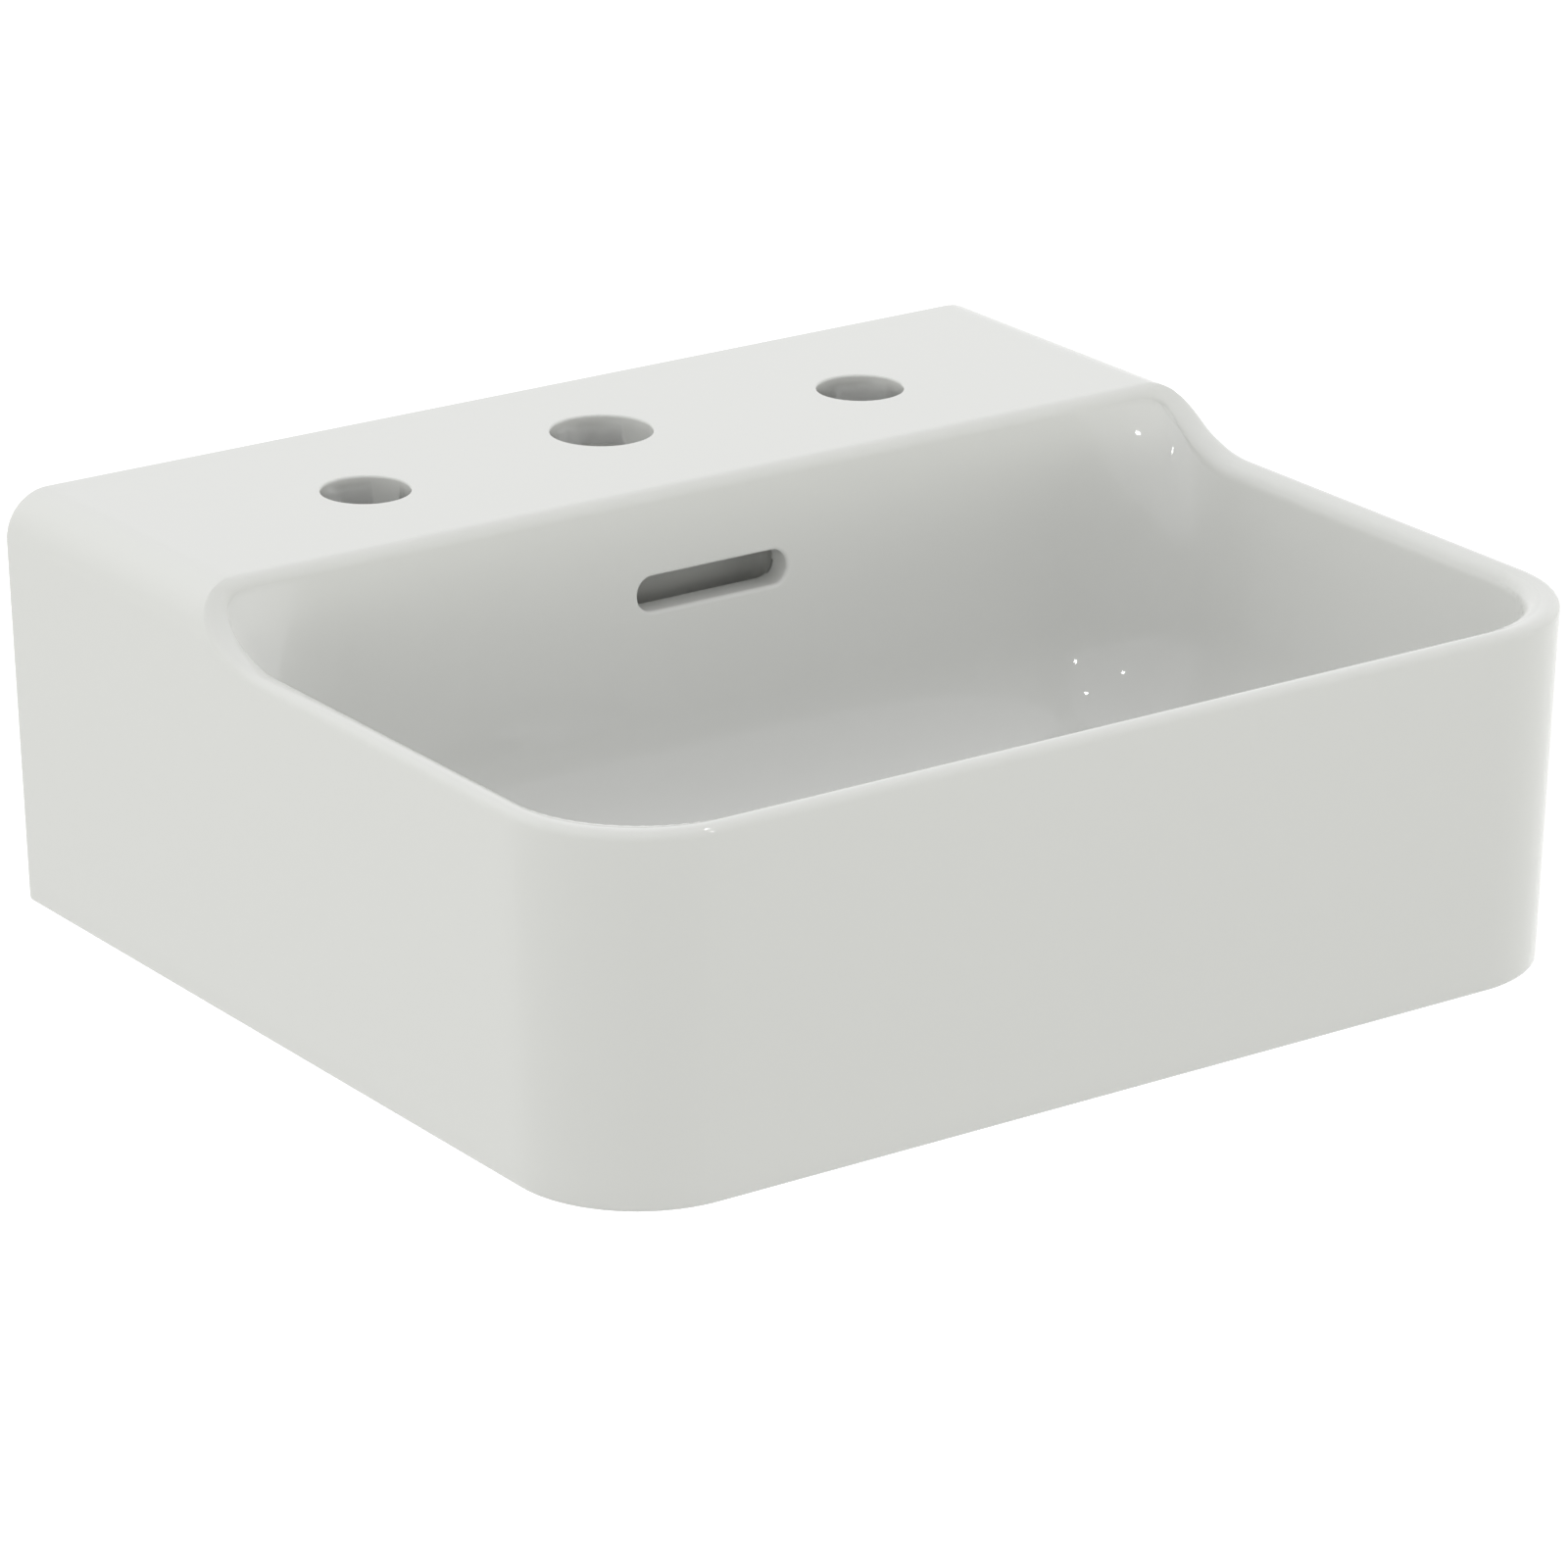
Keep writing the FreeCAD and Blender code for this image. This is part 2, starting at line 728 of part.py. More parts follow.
def make_waste_body():
    """Flange, slotted tail and the bridge that carries the click cartridge."""
    body = new_waste_body("waste_body")
    side = sketch_on(body, "waste_profile", "XZ_Plane")
    outline(side, [
        (size.tail_bore_radius, tail_bottom, 0),
        (size.tail_radius - size.tail_chamfer, tail_bottom, 0),
        (size.tail_radius, tail_bottom + size.tail_chamfer, 0),
        (size.tail_radius, relief_bottom, 0),
        (size.tail_radius - size.thread_relief_fall, relief_bottom, 0),
        (size.tail_radius - size.thread_relief_fall, relief_top, 0),
        (size.tail_radius, relief_top, 0),
        (size.tail_radius, flange_bottom, 0),
        (size.flange_radius, flange_bottom, 0),
        (size.flange_radius, flange_top, size.flange_lip_radius),
        (throat_radius, flange_top, size.flange_lip_radius),
        (throat_radius, throat_bottom, 0),
        (size.tail_bore_radius, throat_bottom, 0),
    ])
    turned(body, "waste_turned", side)
    slots = sketch_on(body, "tail_slot_outline", "XZ_Plane")
    reach = size.tail_slot_width / 2
    rounding = size.tail_slot_radius
    outline(slots, [
        (-reach, duct_bottom, rounding),
        (reach, duct_bottom, rounding),
        (reach, floor_underside, rounding),
        (-reach, floor_underside, rounding),
    ])
    pocket(body, "tail_slots", slots, size.tail_radius * 2 + size.cut_overrun,
           both_ways=True)
    add_bridge(body)
    return body


def add_bridge(body):
    """A bar across the bore with a threaded boss in its middle."""
    reach = size.tail_bore_radius + (size.tail_radius - size.tail_bore_radius) / 2
    bar = sketch_on(body, "bridge_outline", "XY_Plane", bridge_bottom)
    outline(bar, [
        (-reach, -size.bridge_width / 2, 0),
        (reach, -size.bridge_width / 2, 0),
        (reach, size.bridge_width / 2, 0),
        (-reach, size.bridge_width / 2, 0),
    ])
    pad(body, "bridge", bar, size.bridge_height)
    boss = sketch_on(body, "bridge_boss_outline", "XY_Plane",
                     bridge_bottom)
    circle_at(boss, 0, 0, size.bridge_boss_radius)
    pad(body, "bridge_boss", boss, size.bridge_height)
    hole = sketch_on(body, "bridge_hole_outline", "XY_Plane", bridge_top)
    circle_at(hole, 0, 0, size.stud_radius + size.thread_gap)
    pocket(body, "bridge_hole", hole, size.bridge_height + size.cut_overrun)


def make_flange_seal():
    return ring("flange_seal", size.tail_radius + size.thread_gap,
                size.flange_radius - size.flange_lip_radius, seat_level, flange_bottom)


def make_tail_seal():
    """Tapered rubber ring whose nose enters the hole from below."""
    body = new_waste_body("tail_seal")
    side = sketch_on(body, "tail_seal_profile", "XZ_Plane")
    inner = size.tail_radius + size.thread_gap
    outline(side, [
        (inner, -size.seal_height, 0),
        (size.seal_radius - size.seal_bevel, -size.seal_height, 0),
        (size.seal_radius, -(size.seal_height - size.seal_bevel), 0),
        (size.seal_radius, -size.seal_bevel, 0),
        (size.seal_radius - size.seal_bevel, 0, 0),
        (size.outlet_radius - size.thread_gap, 0, 0),
        (size.outlet_radius - size.seal_bevel, size.seal_nose_height, 0),
        (inner, size.seal_nose_height, 0),
    ])
    turned(body, "tail_seal_turned", side)
    return body


def make_slip_washer():
    return ring("slip_washer", size.tail_radius + size.thread_gap, size.seal_radius,
                -(size.seal_height + size.slip_washer_height), -size.seal_height)


def hexagon(sketch, flats):
    """A regular hexagon with two corners on the X axis."""
    reach = flats / math.sqrt(3)
    rise = flats / 2
    outline(sketch, [(reach, 0, 0), (reach / 2, rise, 0), (-reach / 2, rise, 0),
                     (-reach, 0, 0), (-reach / 2, -rise, 0), (reach / 2, -rise, 0)])


def hex_nut(label, flats, bottom, height, hole, chamfer):
    """A hexagon nut with turned corners on its free faces."""
    body = new_waste_body(label)
    face = sketch_on(body, label + "_outline", "XY_Plane", bottom)
    hexagon(face, flats)
    pad(body, label + "_prism", face, height)
    reach = flats / math.sqrt(3)
    corner = sketch_on(body, label + "_corner_profile", "XZ_Plane")
    outline(corner, [
        (reach - chamfer * 2, bottom, 0),
        (reach + chamfer, bottom, 0),
        (reach + chamfer, bottom + chamfer * math.sqrt(3), 0),
    ])
    turned(body, label + "_corners", corner, adds=False)
    bore = sketch_on(body, label + "_bore_outline", "XY_Plane", bottom + height)
    circle_at(bore, 0, 0, hole)
    pocket(body, label + "_bore", bore, height + chamfer)
    return body


def make_back_nut():
    height = size.back_nut_height
    bottom = -(size.seal_height + size.slip_washer_height) - height
    return hex_nut("back_nut", size.back_nut_flats, bottom, height,
                   size.tail_radius + size.thread_gap, size.back_nut_face_chamfer)


sleeve_floor_top = bridge_top + size.sleeve_floor
spring_pressed = size.spring_wire_radius * 2 * (size.spring_turns + 1) + size.spring_gap
cam_bottom = sleeve_floor_top + spring_pressed + size.plug_travel
plunger_bottom = cam_bottom + size.cam_ring_height
plunger_top = plunger_bottom + size.plunger_height
moving_radius = size.sleeve_bore_radius - size.running_gap
sleeve_top = plunger_top + size.running_gap


def make_cartridge_sleeve():
    """The cup that the click mechanism works in, with the stud that screws in the bridge."""
    body = new_waste_body("cartridge_sleeve")
    side = sketch_on(body, "sleeve_profile", "XZ_Plane")
    outline(side, [
        (0, bridge_bottom, 0),
        (size.stud_radius, bridge_bottom, 0),
        (size.stud_radius, bridge_top, 0),
        (size.sleeve_radius, bridge_top, 0),
        (size.sleeve_radius, sleeve_top, 0),
        (size.sleeve_bore_radius, sleeve_top, 0),
        (size.sleeve_bore_radius, sleeve_floor_top, 0),
        (0, sleeve_floor_top, 0),
    ])
    turned(body, "sleeve_turned", side)
    return body


def make_sleeve_cap():
    return ring("sleeve_cap", size.stem_radius + size.running_gap, size.sleeve_radius,
                sleeve_top, sleeve_top + size.sleeve_cap_height, size.sleeve_cap_edge)


def make_plunger():
    """The follower on the stem's lower end, with a spigot that carries the cam ring."""
    body = new_waste_body("plunger")
    side = sketch_on(body, "plunger_profile", "XZ_Plane")
    outline(side, [
        (0, cam_bottom, 0),
        (size.stem_radius, cam_bottom, 0),
        (size.stem_radius, plunger_bottom, 0),
        (moving_radius, plunger_bottom, 0),
        (moving_radius, plunger_top, 0),
        (0, plunger_top, 0),
    ])
    turned(body, "plunger_turned", side)
    return body


def make_cam_ring():
    """The indexing ring, with a row of ratchet teeth on its lower face."""
    body = new_waste_body("cam_ring")
    side = sketch_on(body, "cam_ring_profile", "XZ_Plane")
    inner = size.stem_radius + size.running_gap
    outer = moving_radius - size.running_gap
    top = plunger_bottom - size.cam_face_gap
    outline(side, [(inner, cam_bottom, 0), (outer, cam_bottom, 0), (outer, top, 0),
                   (inner, top, 0)])
    turned(body, "cam_ring_turned", side)
    notch = sketch_on(body, "cam_notch_outline", "YZ_Plane")
    reach = size.cam_tooth_height
    outline(notch, [
        (-reach, cam_bottom - size.cam_tooth_height, 0),
        (reach, cam_bottom - size.cam_tooth_height, 0),
        (reach, cam_bottom, 0),
        (-reach, cam_bottom + size.cam_tooth_height, 0),
    ])
    cut = pocket(body, "cam_notch", notch, size.sleeve_radius)
    pattern = body.newObject("PartDesign::PolarPattern", "cam_notches")
    pattern.Originals = [cut]
    pattern.Axis = (plane(body, "Z_Axis"), [""])
    pattern.Angle = 360
    bind(pattern, "Occurrences", size.cam_tooth_count)
    body.Tip = pattern
    doc.recompute()
    return body


def make_return_spring():
    """An open coil from the sleeve's floor to the cam ring."""
    wire = size.spring_wire_radius
    radius = moving_radius - size.running_gap - wire
    bottom = sleeve_floor_top + wire
    rise = cam_bottom - size.cam_face_gap - wire - bottom
    path = doc.addObject("Part::Helix", "spring_path")
    bind(path, "Pitch", rise / size.spring_turns)
    bind(path, "Height", rise)
    bind(path, "Radius", radius)
    section = doc.addObject("Part::RegularPolygon", "spring_section")
    bind(section, "Polygon", size.spring_wire_sides)
    bind(section, "Circumradius", wire)
    section.Placement.Rotation = FreeCAD.Rotation(vec(1, 0, 0), 90)
    for item, width in ((path, zero), (section, radius)):
        bind(item, "Placement.Base.x", width)
        bind(item, "Placement.Base.y", -size.outlet_depth)
        bind(item, "Placement.Base.z", bottom - size.fixing_height)
    spring = doc.addObject("Part::Sweep", "return_spring")
    spring.Label = "return_spring"
    spring.Sections = [section]
    spring.Spine = (path, [])
    spring.Solid = True
    spring.Frenet = True
    doc.recompute()
    return spring


def make_plug_stem():
    """The rod between the plunger and the cap, screwed into both."""
    body = new_waste_body("plug_stem")
    side = sketch_on(body, "stem_profile", "XZ_Plane")
    outline(side, [
        (0, plunger_top, 0),
        (size.stem_radius, plunger_top, 0),
        (size.stem_radius, cap_level, 0),
        (0, cap_level, 0),
    ])
    turned(body, "stem_turned", side)
    return body


def make_plug_cap():
    """The domed cap, thin at its rim, with a flat pad under its middle."""
    body = new_waste_body("plug_cap")
    side = sketch_on(body, "cap_profile", "XZ_Plane")
    chord = size.cap_radius
    outline(side, [
        (0, cap_level, 0),
        (chord - size.cap_under_bevel, cap_level, 0),
        (chord, cap_level + size.cap_under_bevel, 0),
        (chord, cap_level + size.cap_edge, size.cap_rim_radius),
        (chord / 2, cap_level + size.cap_edge + size.cap_dome, size.cap_dome_radius),
        (0, cap_level + size.cap_edge + size.cap_dome, 0),
    ])
    turned(body, "cap_turned", side)
    return body


def make_plug_gasket():
    return ring("plug_gasket", size.stem_radius + size.thread_gap,
                throat_radius - size.running_gap,
                cap_level - size.gasket_height, cap_level, size.gasket_edge)


def make_seal_washer():
    """The disc that clamps the gasket to the cap."""
    top = cap_level - size.gasket_height
    return ring("seal_washer", size.stem_radius + size.thread_gap, size.seal_washer_radius,
                top - size.seal_washer_height, top)


def make_lock_nut():
    height = size.lock_nut_height
    top = cap_level - size.gasket_height - size.seal_washer_height
    return hex_nut("lock_nut", size.lock_nut_flats, top - height, height,
                   size.stem_radius + size.thread_gap, size.lock_nut_chamfer)


def check_and_write():
    """Refuse a failed object, then write one file for each piece."""
    doc.recompute()
    for item in doc.Objects:
        if "Invalid" in item.State or "Error" in item.State:
            raise RuntimeError(item.Label + " is not valid")
    os.makedirs("parts", exist_ok=True)
    for piece in pieces:
        if piece.Shape.isNull() or not piece.Shape.isValid():
            raise RuntimeError(piece.Label + " has no valid shape")
        piece.Shape.exportStep("parts/%s.step" % piece.Label)
        print(piece.Label, round(piece.Shape.Volume), len(piece.Shape.Solids))


pieces = [
    make_basin_china(),
    make_waste_body(),
    make_flange_seal(),
    make_tail_seal(),
    make_slip_washer(),
    make_back_nut(),
    make_cartridge_sleeve(),
    make_sleeve_cap(),
    make_plunger(),
    make_cam_ring(),
    make_return_spring(),
    make_plug_stem(),
    make_plug_cap(),
    make_plug_gasket(),
    make_seal_washer(),
    make_lock_nut(),
]
check_and_write()
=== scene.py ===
import json
import math
import bmesh
import bpy
import numpy as np
from mathutils import Matrix, Vector

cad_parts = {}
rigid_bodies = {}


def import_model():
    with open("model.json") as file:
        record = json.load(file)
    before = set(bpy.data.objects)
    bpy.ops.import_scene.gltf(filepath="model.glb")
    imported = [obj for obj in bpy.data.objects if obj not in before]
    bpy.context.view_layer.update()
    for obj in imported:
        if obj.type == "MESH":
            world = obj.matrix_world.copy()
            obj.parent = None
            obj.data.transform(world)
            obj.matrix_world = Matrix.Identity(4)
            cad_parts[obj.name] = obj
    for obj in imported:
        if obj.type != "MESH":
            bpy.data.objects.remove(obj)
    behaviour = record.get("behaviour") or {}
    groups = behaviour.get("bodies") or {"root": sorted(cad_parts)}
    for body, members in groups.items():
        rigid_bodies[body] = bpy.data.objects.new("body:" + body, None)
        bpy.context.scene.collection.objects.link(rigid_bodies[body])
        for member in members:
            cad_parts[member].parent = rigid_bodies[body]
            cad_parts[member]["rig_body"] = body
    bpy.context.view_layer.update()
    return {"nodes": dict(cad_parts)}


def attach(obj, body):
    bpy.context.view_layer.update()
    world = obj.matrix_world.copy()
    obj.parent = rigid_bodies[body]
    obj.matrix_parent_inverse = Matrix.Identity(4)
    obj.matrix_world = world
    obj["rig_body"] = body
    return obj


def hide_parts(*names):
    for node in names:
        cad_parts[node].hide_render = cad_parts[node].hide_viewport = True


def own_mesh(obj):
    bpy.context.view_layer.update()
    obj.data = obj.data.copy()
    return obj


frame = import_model()
nodes = frame["nodes"]
print("frame loaded:", len(nodes), "pieces")

cameraView = {
    "place": (-1.335883, -2.063533, 0.811554),
    "right": (0.818485, -0.574527, 0.000757),  # the camera's own three directions
    "up": (0.196329, 0.280933, 0.939432),
    "back": (-0.539942, -0.768762, 0.342736),
    "lens": 171.83,
    "sensor": 36.0,
    "shift": 0.0018,
}


def addCamera(view):
    # The photograph's camera: its three directions are the columns of its turn
    data = bpy.data.cameras.new("photoCamera")
    data.lens = view["lens"]
    data.sensor_width = view["sensor"]
    data.sensor_fit = "HORIZONTAL"
    data.shift_x = view["shift"]
    data.clip_start = 0.05
    data.clip_end = 50
    camera = bpy.data.objects.new("photoCamera", data)
    turn = Matrix((view["right"], view["up"], view["back"])).transposed()
    camera.matrix_world = Matrix.Translation(view["place"]) @ turn.to_4x4()
    bpy.context.scene.collection.objects.link(camera)
    bpy.context.scene.camera = camera


addCamera(cameraView)
print("camera placed")


def link(tree, source, target):
    # A wire from an output to an input
    tree.links.new(source, target)


def newGroup(name, inputs, outputs):
    # A group with named sockets: (name, kind, starting value)
    group = bpy.data.node_groups.new(name, "ShaderNodeTree")
    for label, kind, start in inputs:
        socket = group.interface.new_socket(label, in_out="INPUT", socket_type=kind)
        if start is not None:
            socket.default_value = start
    for label, kind in outputs:
        group.interface.new_socket(label, in_out="OUTPUT", socket_type=kind)
    return group, group.nodes.new("NodeGroupInput"), group.nodes.new("NodeGroupOutput")


def noiseNode(tree, vector, scale, detail):
    # Cloudy noise from 0 to 1 at a place
    noise = tree.nodes.new("ShaderNodeTexNoise")
    noise.inputs["Scale"].default_value = scale
    noise.inputs["Detail"].default_value = detail
    link(tree, vector, noise.inputs["Vector"])
    return noise.outputs["Fac"]


def mapRange(tree, value, low, high, outLow, outHigh):
    # Straight line from (low, outLow) to (high, outHigh), held at both ends
    node = tree.nodes.new("ShaderNodeMapRange")
    node.inputs["From Min"].default_value = low
    node.inputs["From Max"].default_value = high
    node.inputs["To Min"].default_value = outLow
    node.inputs["To Max"].default_value = outHigh
    link(tree, value, node.inputs["Value"])
    return node.outputs["Result"]


def colourMix(tree, share, first, second):
    # A colour between two at a share; each is a fixed colour or an output
    mix = tree.nodes.new("ShaderNodeMix")
    mix.data_type = "RGBA"
    link(tree, share, mix.inputs["Factor"])
    for label, colour in (("A", first), ("B", second)):
        if isinstance(colour, tuple):
            mix.inputs[label].default_value = colour
        else:
            link(tree, colour, mix.inputs[label])
    return mix.outputs["Result"]


def addBump(tree, shader, height, strength, distance):
    # Tilts the shading by a height's slope
    bump = tree.nodes.new("ShaderNodeBump")
    bump.inputs["Strength"].default_value = strength
    bump.inputs["Distance"].default_value = distance
    link(tree, height, bump.inputs["Height"])
    link(tree, bump.outputs["Normal"], shader.inputs["Normal"])


def objectPlace(tree):
    # The surface's place in the piece's own coordinates
    return tree.nodes.new("ShaderNodeTexCoord").outputs["Object"]


def newMaterial(name, metallic=0.0, roughness=0.4, ior=1.5):
    # A material with its constant numbers set on the shader itself
    material = bpy.data.materials.new(name)
    material.use_nodes = True
    tree = material.node_tree
    shader = tree.nodes["Principled BSDF"]
    shader.inputs["Metallic"].default_value = metallic
    shader.inputs["Roughness"].default_value = roughness
    shader.inputs["IOR"].default_value = ior
    return material, tree, shader


cloudSpan = (0.35, 0.65)  # the part of a noise's range that is used, from none to full

glaze = {
    "colour": (0.80, 0.803, 0.79, 1), "ior": 1.52,
    "roughness": 0.05, "roughShares": (0.7, 1.5),  # least and most of that roughness
    "cloudSize": 14, "cloudSpan": (0.3, 0.7),
    "rippleSize": 90, "ripple": (0.04, 0.0006),  # strength and height in metres
}


def makeGlaze(values):
    # Clear glaze, a little smoother and rougher in clouds, with a faint ripple
    roughness = values["roughness"]
    material, tree, shader = newMaterial("glazedChina", roughness=roughness, ior=values["ior"])
    where = objectPlace(tree)
    shader.inputs["Base Color"].default_value = values["colour"]
    least, most = values["roughShares"]
    cloud = noiseNode(tree, where, values["cloudSize"], 2)
    link(tree, mapRange(tree, cloud, *values["cloudSpan"], roughness * least, roughness * most),
         shader.inputs["Roughness"])
    addBump(tree, shader, noiseNode(tree, where, values["rippleSize"], 2), *values["ripple"])
    return material


clay = {
    "colour": (0.76, 0.74, 0.68, 1), "shade": (0.73, 0.70, 0.64, 1), "roughness": 0.85,
    "cloudSize": 30, "grainSize": 700, "grain": (0.3, 0.0004),
}


def makeClay(values):
    # Fired clay, bare of glaze where the basin stands on the wall and in the kiln
    material, tree, shader = newMaterial("bareClay", roughness=values["roughness"])
    where = objectPlace(tree)
    cloud = mapRange(tree, noiseNode(tree, where, values["cloudSize"], 2), *cloudSpan, 0, 1)
    link(tree, colourMix(tree, cloud, values["colour"], values["shade"]),
         shader.inputs["Base Color"])
    addBump(tree, shader, noiseNode(tree, where, values["grainSize"], 3), *values["grain"])
    return material


glazeMaterial = makeGlaze(glaze)
clayMaterial = makeClay(clay)
print("materials made")

millimetre = 0.001
footLevel = -85.0  # the foot's height in the frame, in mm
mergeDistance, flatDistance = 2e-6, 1e-7  # in metres


def toScene(points):
    # From millimetres above the foot to metres in the frame
    moved = np.array(points, float)
    moved[..., 2] += footLevel
    return moved * millimetre


def gridFaces(rows, columns, wrapRows=False, wrapColumns=False):
    # Each face joins four neighbours of a rows x columns net
    i = np.arange(rows if wrapRows else rows - 1)
    j = np.arange(columns if wrapColumns else columns - 1)
    low, left = np.meshgrid(i, j, indexing="ij")
    high, right = (low + 1) % rows, (left + 1) % columns
    corners = [low * columns + left, low * columns + right,
               high * columns + right, high * columns + left]
    return np.stack(corners, axis=-1).reshape(-1, 4)


def readArray(items, label, width=3):
    # One of a mesh's attributes as an array with a row for each item
    values = np.zeros(len(items) * width, np.float32)
    items.foreach_get(label, values)
    return values.reshape(-1, width)


def weld(mesh, clean=False, outwards=False):
    # Joins points that lie on each other; may drop flat faces and turn the rest outwards
    work = bmesh.new()
    work.from_mesh(mesh)
    bmesh.ops.remove_doubles(work, verts=work.verts, dist=mergeDistance)
    if clean:
        bmesh.ops.dissolve_degenerate(work, edges=work.edges, dist=flatDistance)
    if outwards:
        bmesh.ops.recalc_face_normals(work, faces=work.faces)
    work.to_mesh(mesh)
    work.free()


def meshFrom(name, nets, closed=False):
    # One mesh from several (points, faces) nets, doubles merged so that their seams close
    points, faces, count = [], [], 0
    for net, corners in nets:
        flat = toScene(net).reshape(-1, 3)
        points.append(flat)
        faces.append(corners + count)
        count += len(flat)
    mesh = bpy.data.meshes.new(name)
    mesh.from_pydata(np.concatenate(points), [], np.concatenate(faces).tolist())
    weld(mesh, clean=True, outwards=closed)
    return mesh


def addPiece(mesh, material, body, sharpAngle=30):
    # A mesh as a piece on a body, smooth but for edges sharper than an angle
    mesh.shade_smooth()
    mesh.set_sharp_from_angle(angle=math.radians(sharpAngle))
    piece = bpy.data.objects.new(mesh.name, mesh)
    bpy.context.scene.collection.objects.link(piece)
    mesh.materials.append(material)
    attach(piece, body)
    return piece


def mergedCopy(node, name, sharpAngle):
    # A node's loose triangles as one closed mesh
    mesh = nodes[node].data.copy()
    mesh.name = name
    weld(mesh)
    mesh.materials.clear()
    mesh.shade_smooth()
    mesh.set_sharp_from_angle(angle=math.radians(sharpAngle))
    piece = bpy.data.objects.new(name, mesh)
    bpy.context.scene.collection.objects.link(piece)
    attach(piece, nodes[node]["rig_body"])
    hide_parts(node)
    return piece


def roundedPath(corners, steps=8):
    # Straight runs between the corners, each corner (a, b, radius) turned into an arc
    path = [np.array([corners[0][:2]], float)]
    for before, corner, after in zip(corners, corners[1:], corners[2:]):
        here = np.array(corner[:2], float)
        arrive = np.array(before[:2], float) - here
        leave = np.array(after[:2], float) - here
        arrive, leave = arrive / np.hypot(*arrive), leave / np.hypot(*leave)
        half = math.acos(np.clip(arrive @ leave, -1, 1)) / 2
        radius = corner[2]
        if radius == 0:
            path.append(here[None])
            continue
        centre = here + (arrive + leave) / np.hypot(*(arrive + leave)) * radius / math.sin(half)
        first = here + arrive * radius / math.tan(half) - centre
        last = here + leave * radius / math.tan(half) - centre
        turn = math.pi - 2 * half
        share = np.linspace(0, 1, steps)[:, None]
        arc = (np.sin((1 - share) * turn) * first + np.sin(share * turn) * last) / math.sin(turn)
        path.append(centre + arc)
    path.append(np.array([corners[-1][:2]], float))
    return np.concatenate(path)


basin = {
    "halfWidth": 200, "depth": 350, "deckHeight": 144, "rimHeight": 124,
    "draft": 4.5, "frontCorner": 48.5, "footEdge": 2,
    "shoulder": 16,       # rounding of the deck's ends
    "rimOuter": 3,
    "wallThickness": 9,
    "stepCorners": [(100, 144.1, 0), (119, 144.1, 4), (127.7, 131.6, 36), (150, 124, 50),
                    (360, 124, 0)],
    "bowlBack": 121, "bowlDraft": 9, "bowlBackDraft": 4.5, "bowlFloor": 30,
    "bowlFloorRounding": 36, "frontRadius": 40, "floorRadius": 50,
    "cornerReach": 45,    # how far the back corners' sweep runs along each wall
    "cornerPower": 12,    # the higher, the squarer the corner at the rim
    "deckEndTurn": 56,    # where round the back corner, in degrees, the deck ends
    "sailHeight": 40,     # over this height the square corner turns round
    "backLip": 1.6, "sideLip": 6,
    "backLipTurn": (0.35, 0.6),  # turn at which the side's lip ends, and how long it changes
    "outlet": (0, -228), "dishRadius": 58, "dishFall": 1.5, "seatRadius": 32.5,
    "seatLevel": 24.0,
    "slotLength": 60, "slotHeight": 12, "slotLevel": 108.6, "slotEnd": 5.76,
    "slotEdge": 1.5, "slotDepth": 8.5,
    "panelHalf": 36, "panelLow": 96, "panelHigh": 121,  # part of the wall the slot is set in
    "glazeThickness": 0.25,
}
rowCounts = {"foot": 7, "side": 15, "shoulder": 15, "rim": 11, "lip": 15, "overPanel": 14,
             "panel": 17, "underPanel": 14, "floorArc": 21, "floor": 7, "dish": 13,
             "slotFlat": 9, "slotArc": 9, "slotWall": 5}

chinaPoints = readArray(nodes["basin_china"].data.vertices, "co") / millimetre
deckPoints = chinaPoints[chinaPoints[:, 2] > basin["deckHeight"] + footLevel - 0.01]
deckHalf, deckFront = float(np.abs(deckPoints[:, 0]).max()), float(-deckPoints[:, 1].min())
print("deck's flat part: %.2f wide each side, %.2f deep" % (deckHalf, deckFront))
stepPath = roundedPath(basin["stepCorners"], 24)


def shares(run):
    # From 0 to 1 in a run's rows, without the 0 that the run before ends on
    return np.linspace(0, 1, rowCounts[run])[1:]


def topLevel(depth):
    # Height of the china's top at a depth from the wall: deck, sweep, rim
    return np.minimum(np.interp(depth, stepPath[:, 0], stepPath[:, 1]), basin["deckHeight"])


def wallInset(height):
    # How far the drafted outer wall has come in at a height
    return basin["draft"] * (basin["deckHeight"] - height) / basin["deckHeight"]


slant = math.atan(basin["draft"] / basin["deckHeight"])
stretch = 1 / math.cos(slant)  # from a radius to its centre's distance along the level
besideSlot, slotColumns = 7, 24  # columns on each side of the slot's panel and over it


def sideDepths():
    # Depths along one side, dense where the step sweeps down
    cornerStart = basin["bowlBack"] + basin["cornerReach"]
    angle = np.linspace(math.radians(45), 0, 40)
    return {
        "deck": np.linspace(3, deckFront, 12)[:-1],
        "lip": np.linspace(deckFront, basin["bowlBack"], 14)[:-1],
        "sweep": cornerStart - basin["cornerReach"] * np.tan(angle),
        "straight": np.linspace(cornerStart, basin["depth"] - basin["frontCorner"], 20)[1:],
    }


depths = sideDepths()
frontShares = np.linspace(-1, 1, 41)[1:-1]
cornerTurns = np.linspace(0, math.pi / 2, 33)[1:-1]
allDepths = np.concatenate([depths[run] for run in ("deck", "lip", "sweep", "straight")])


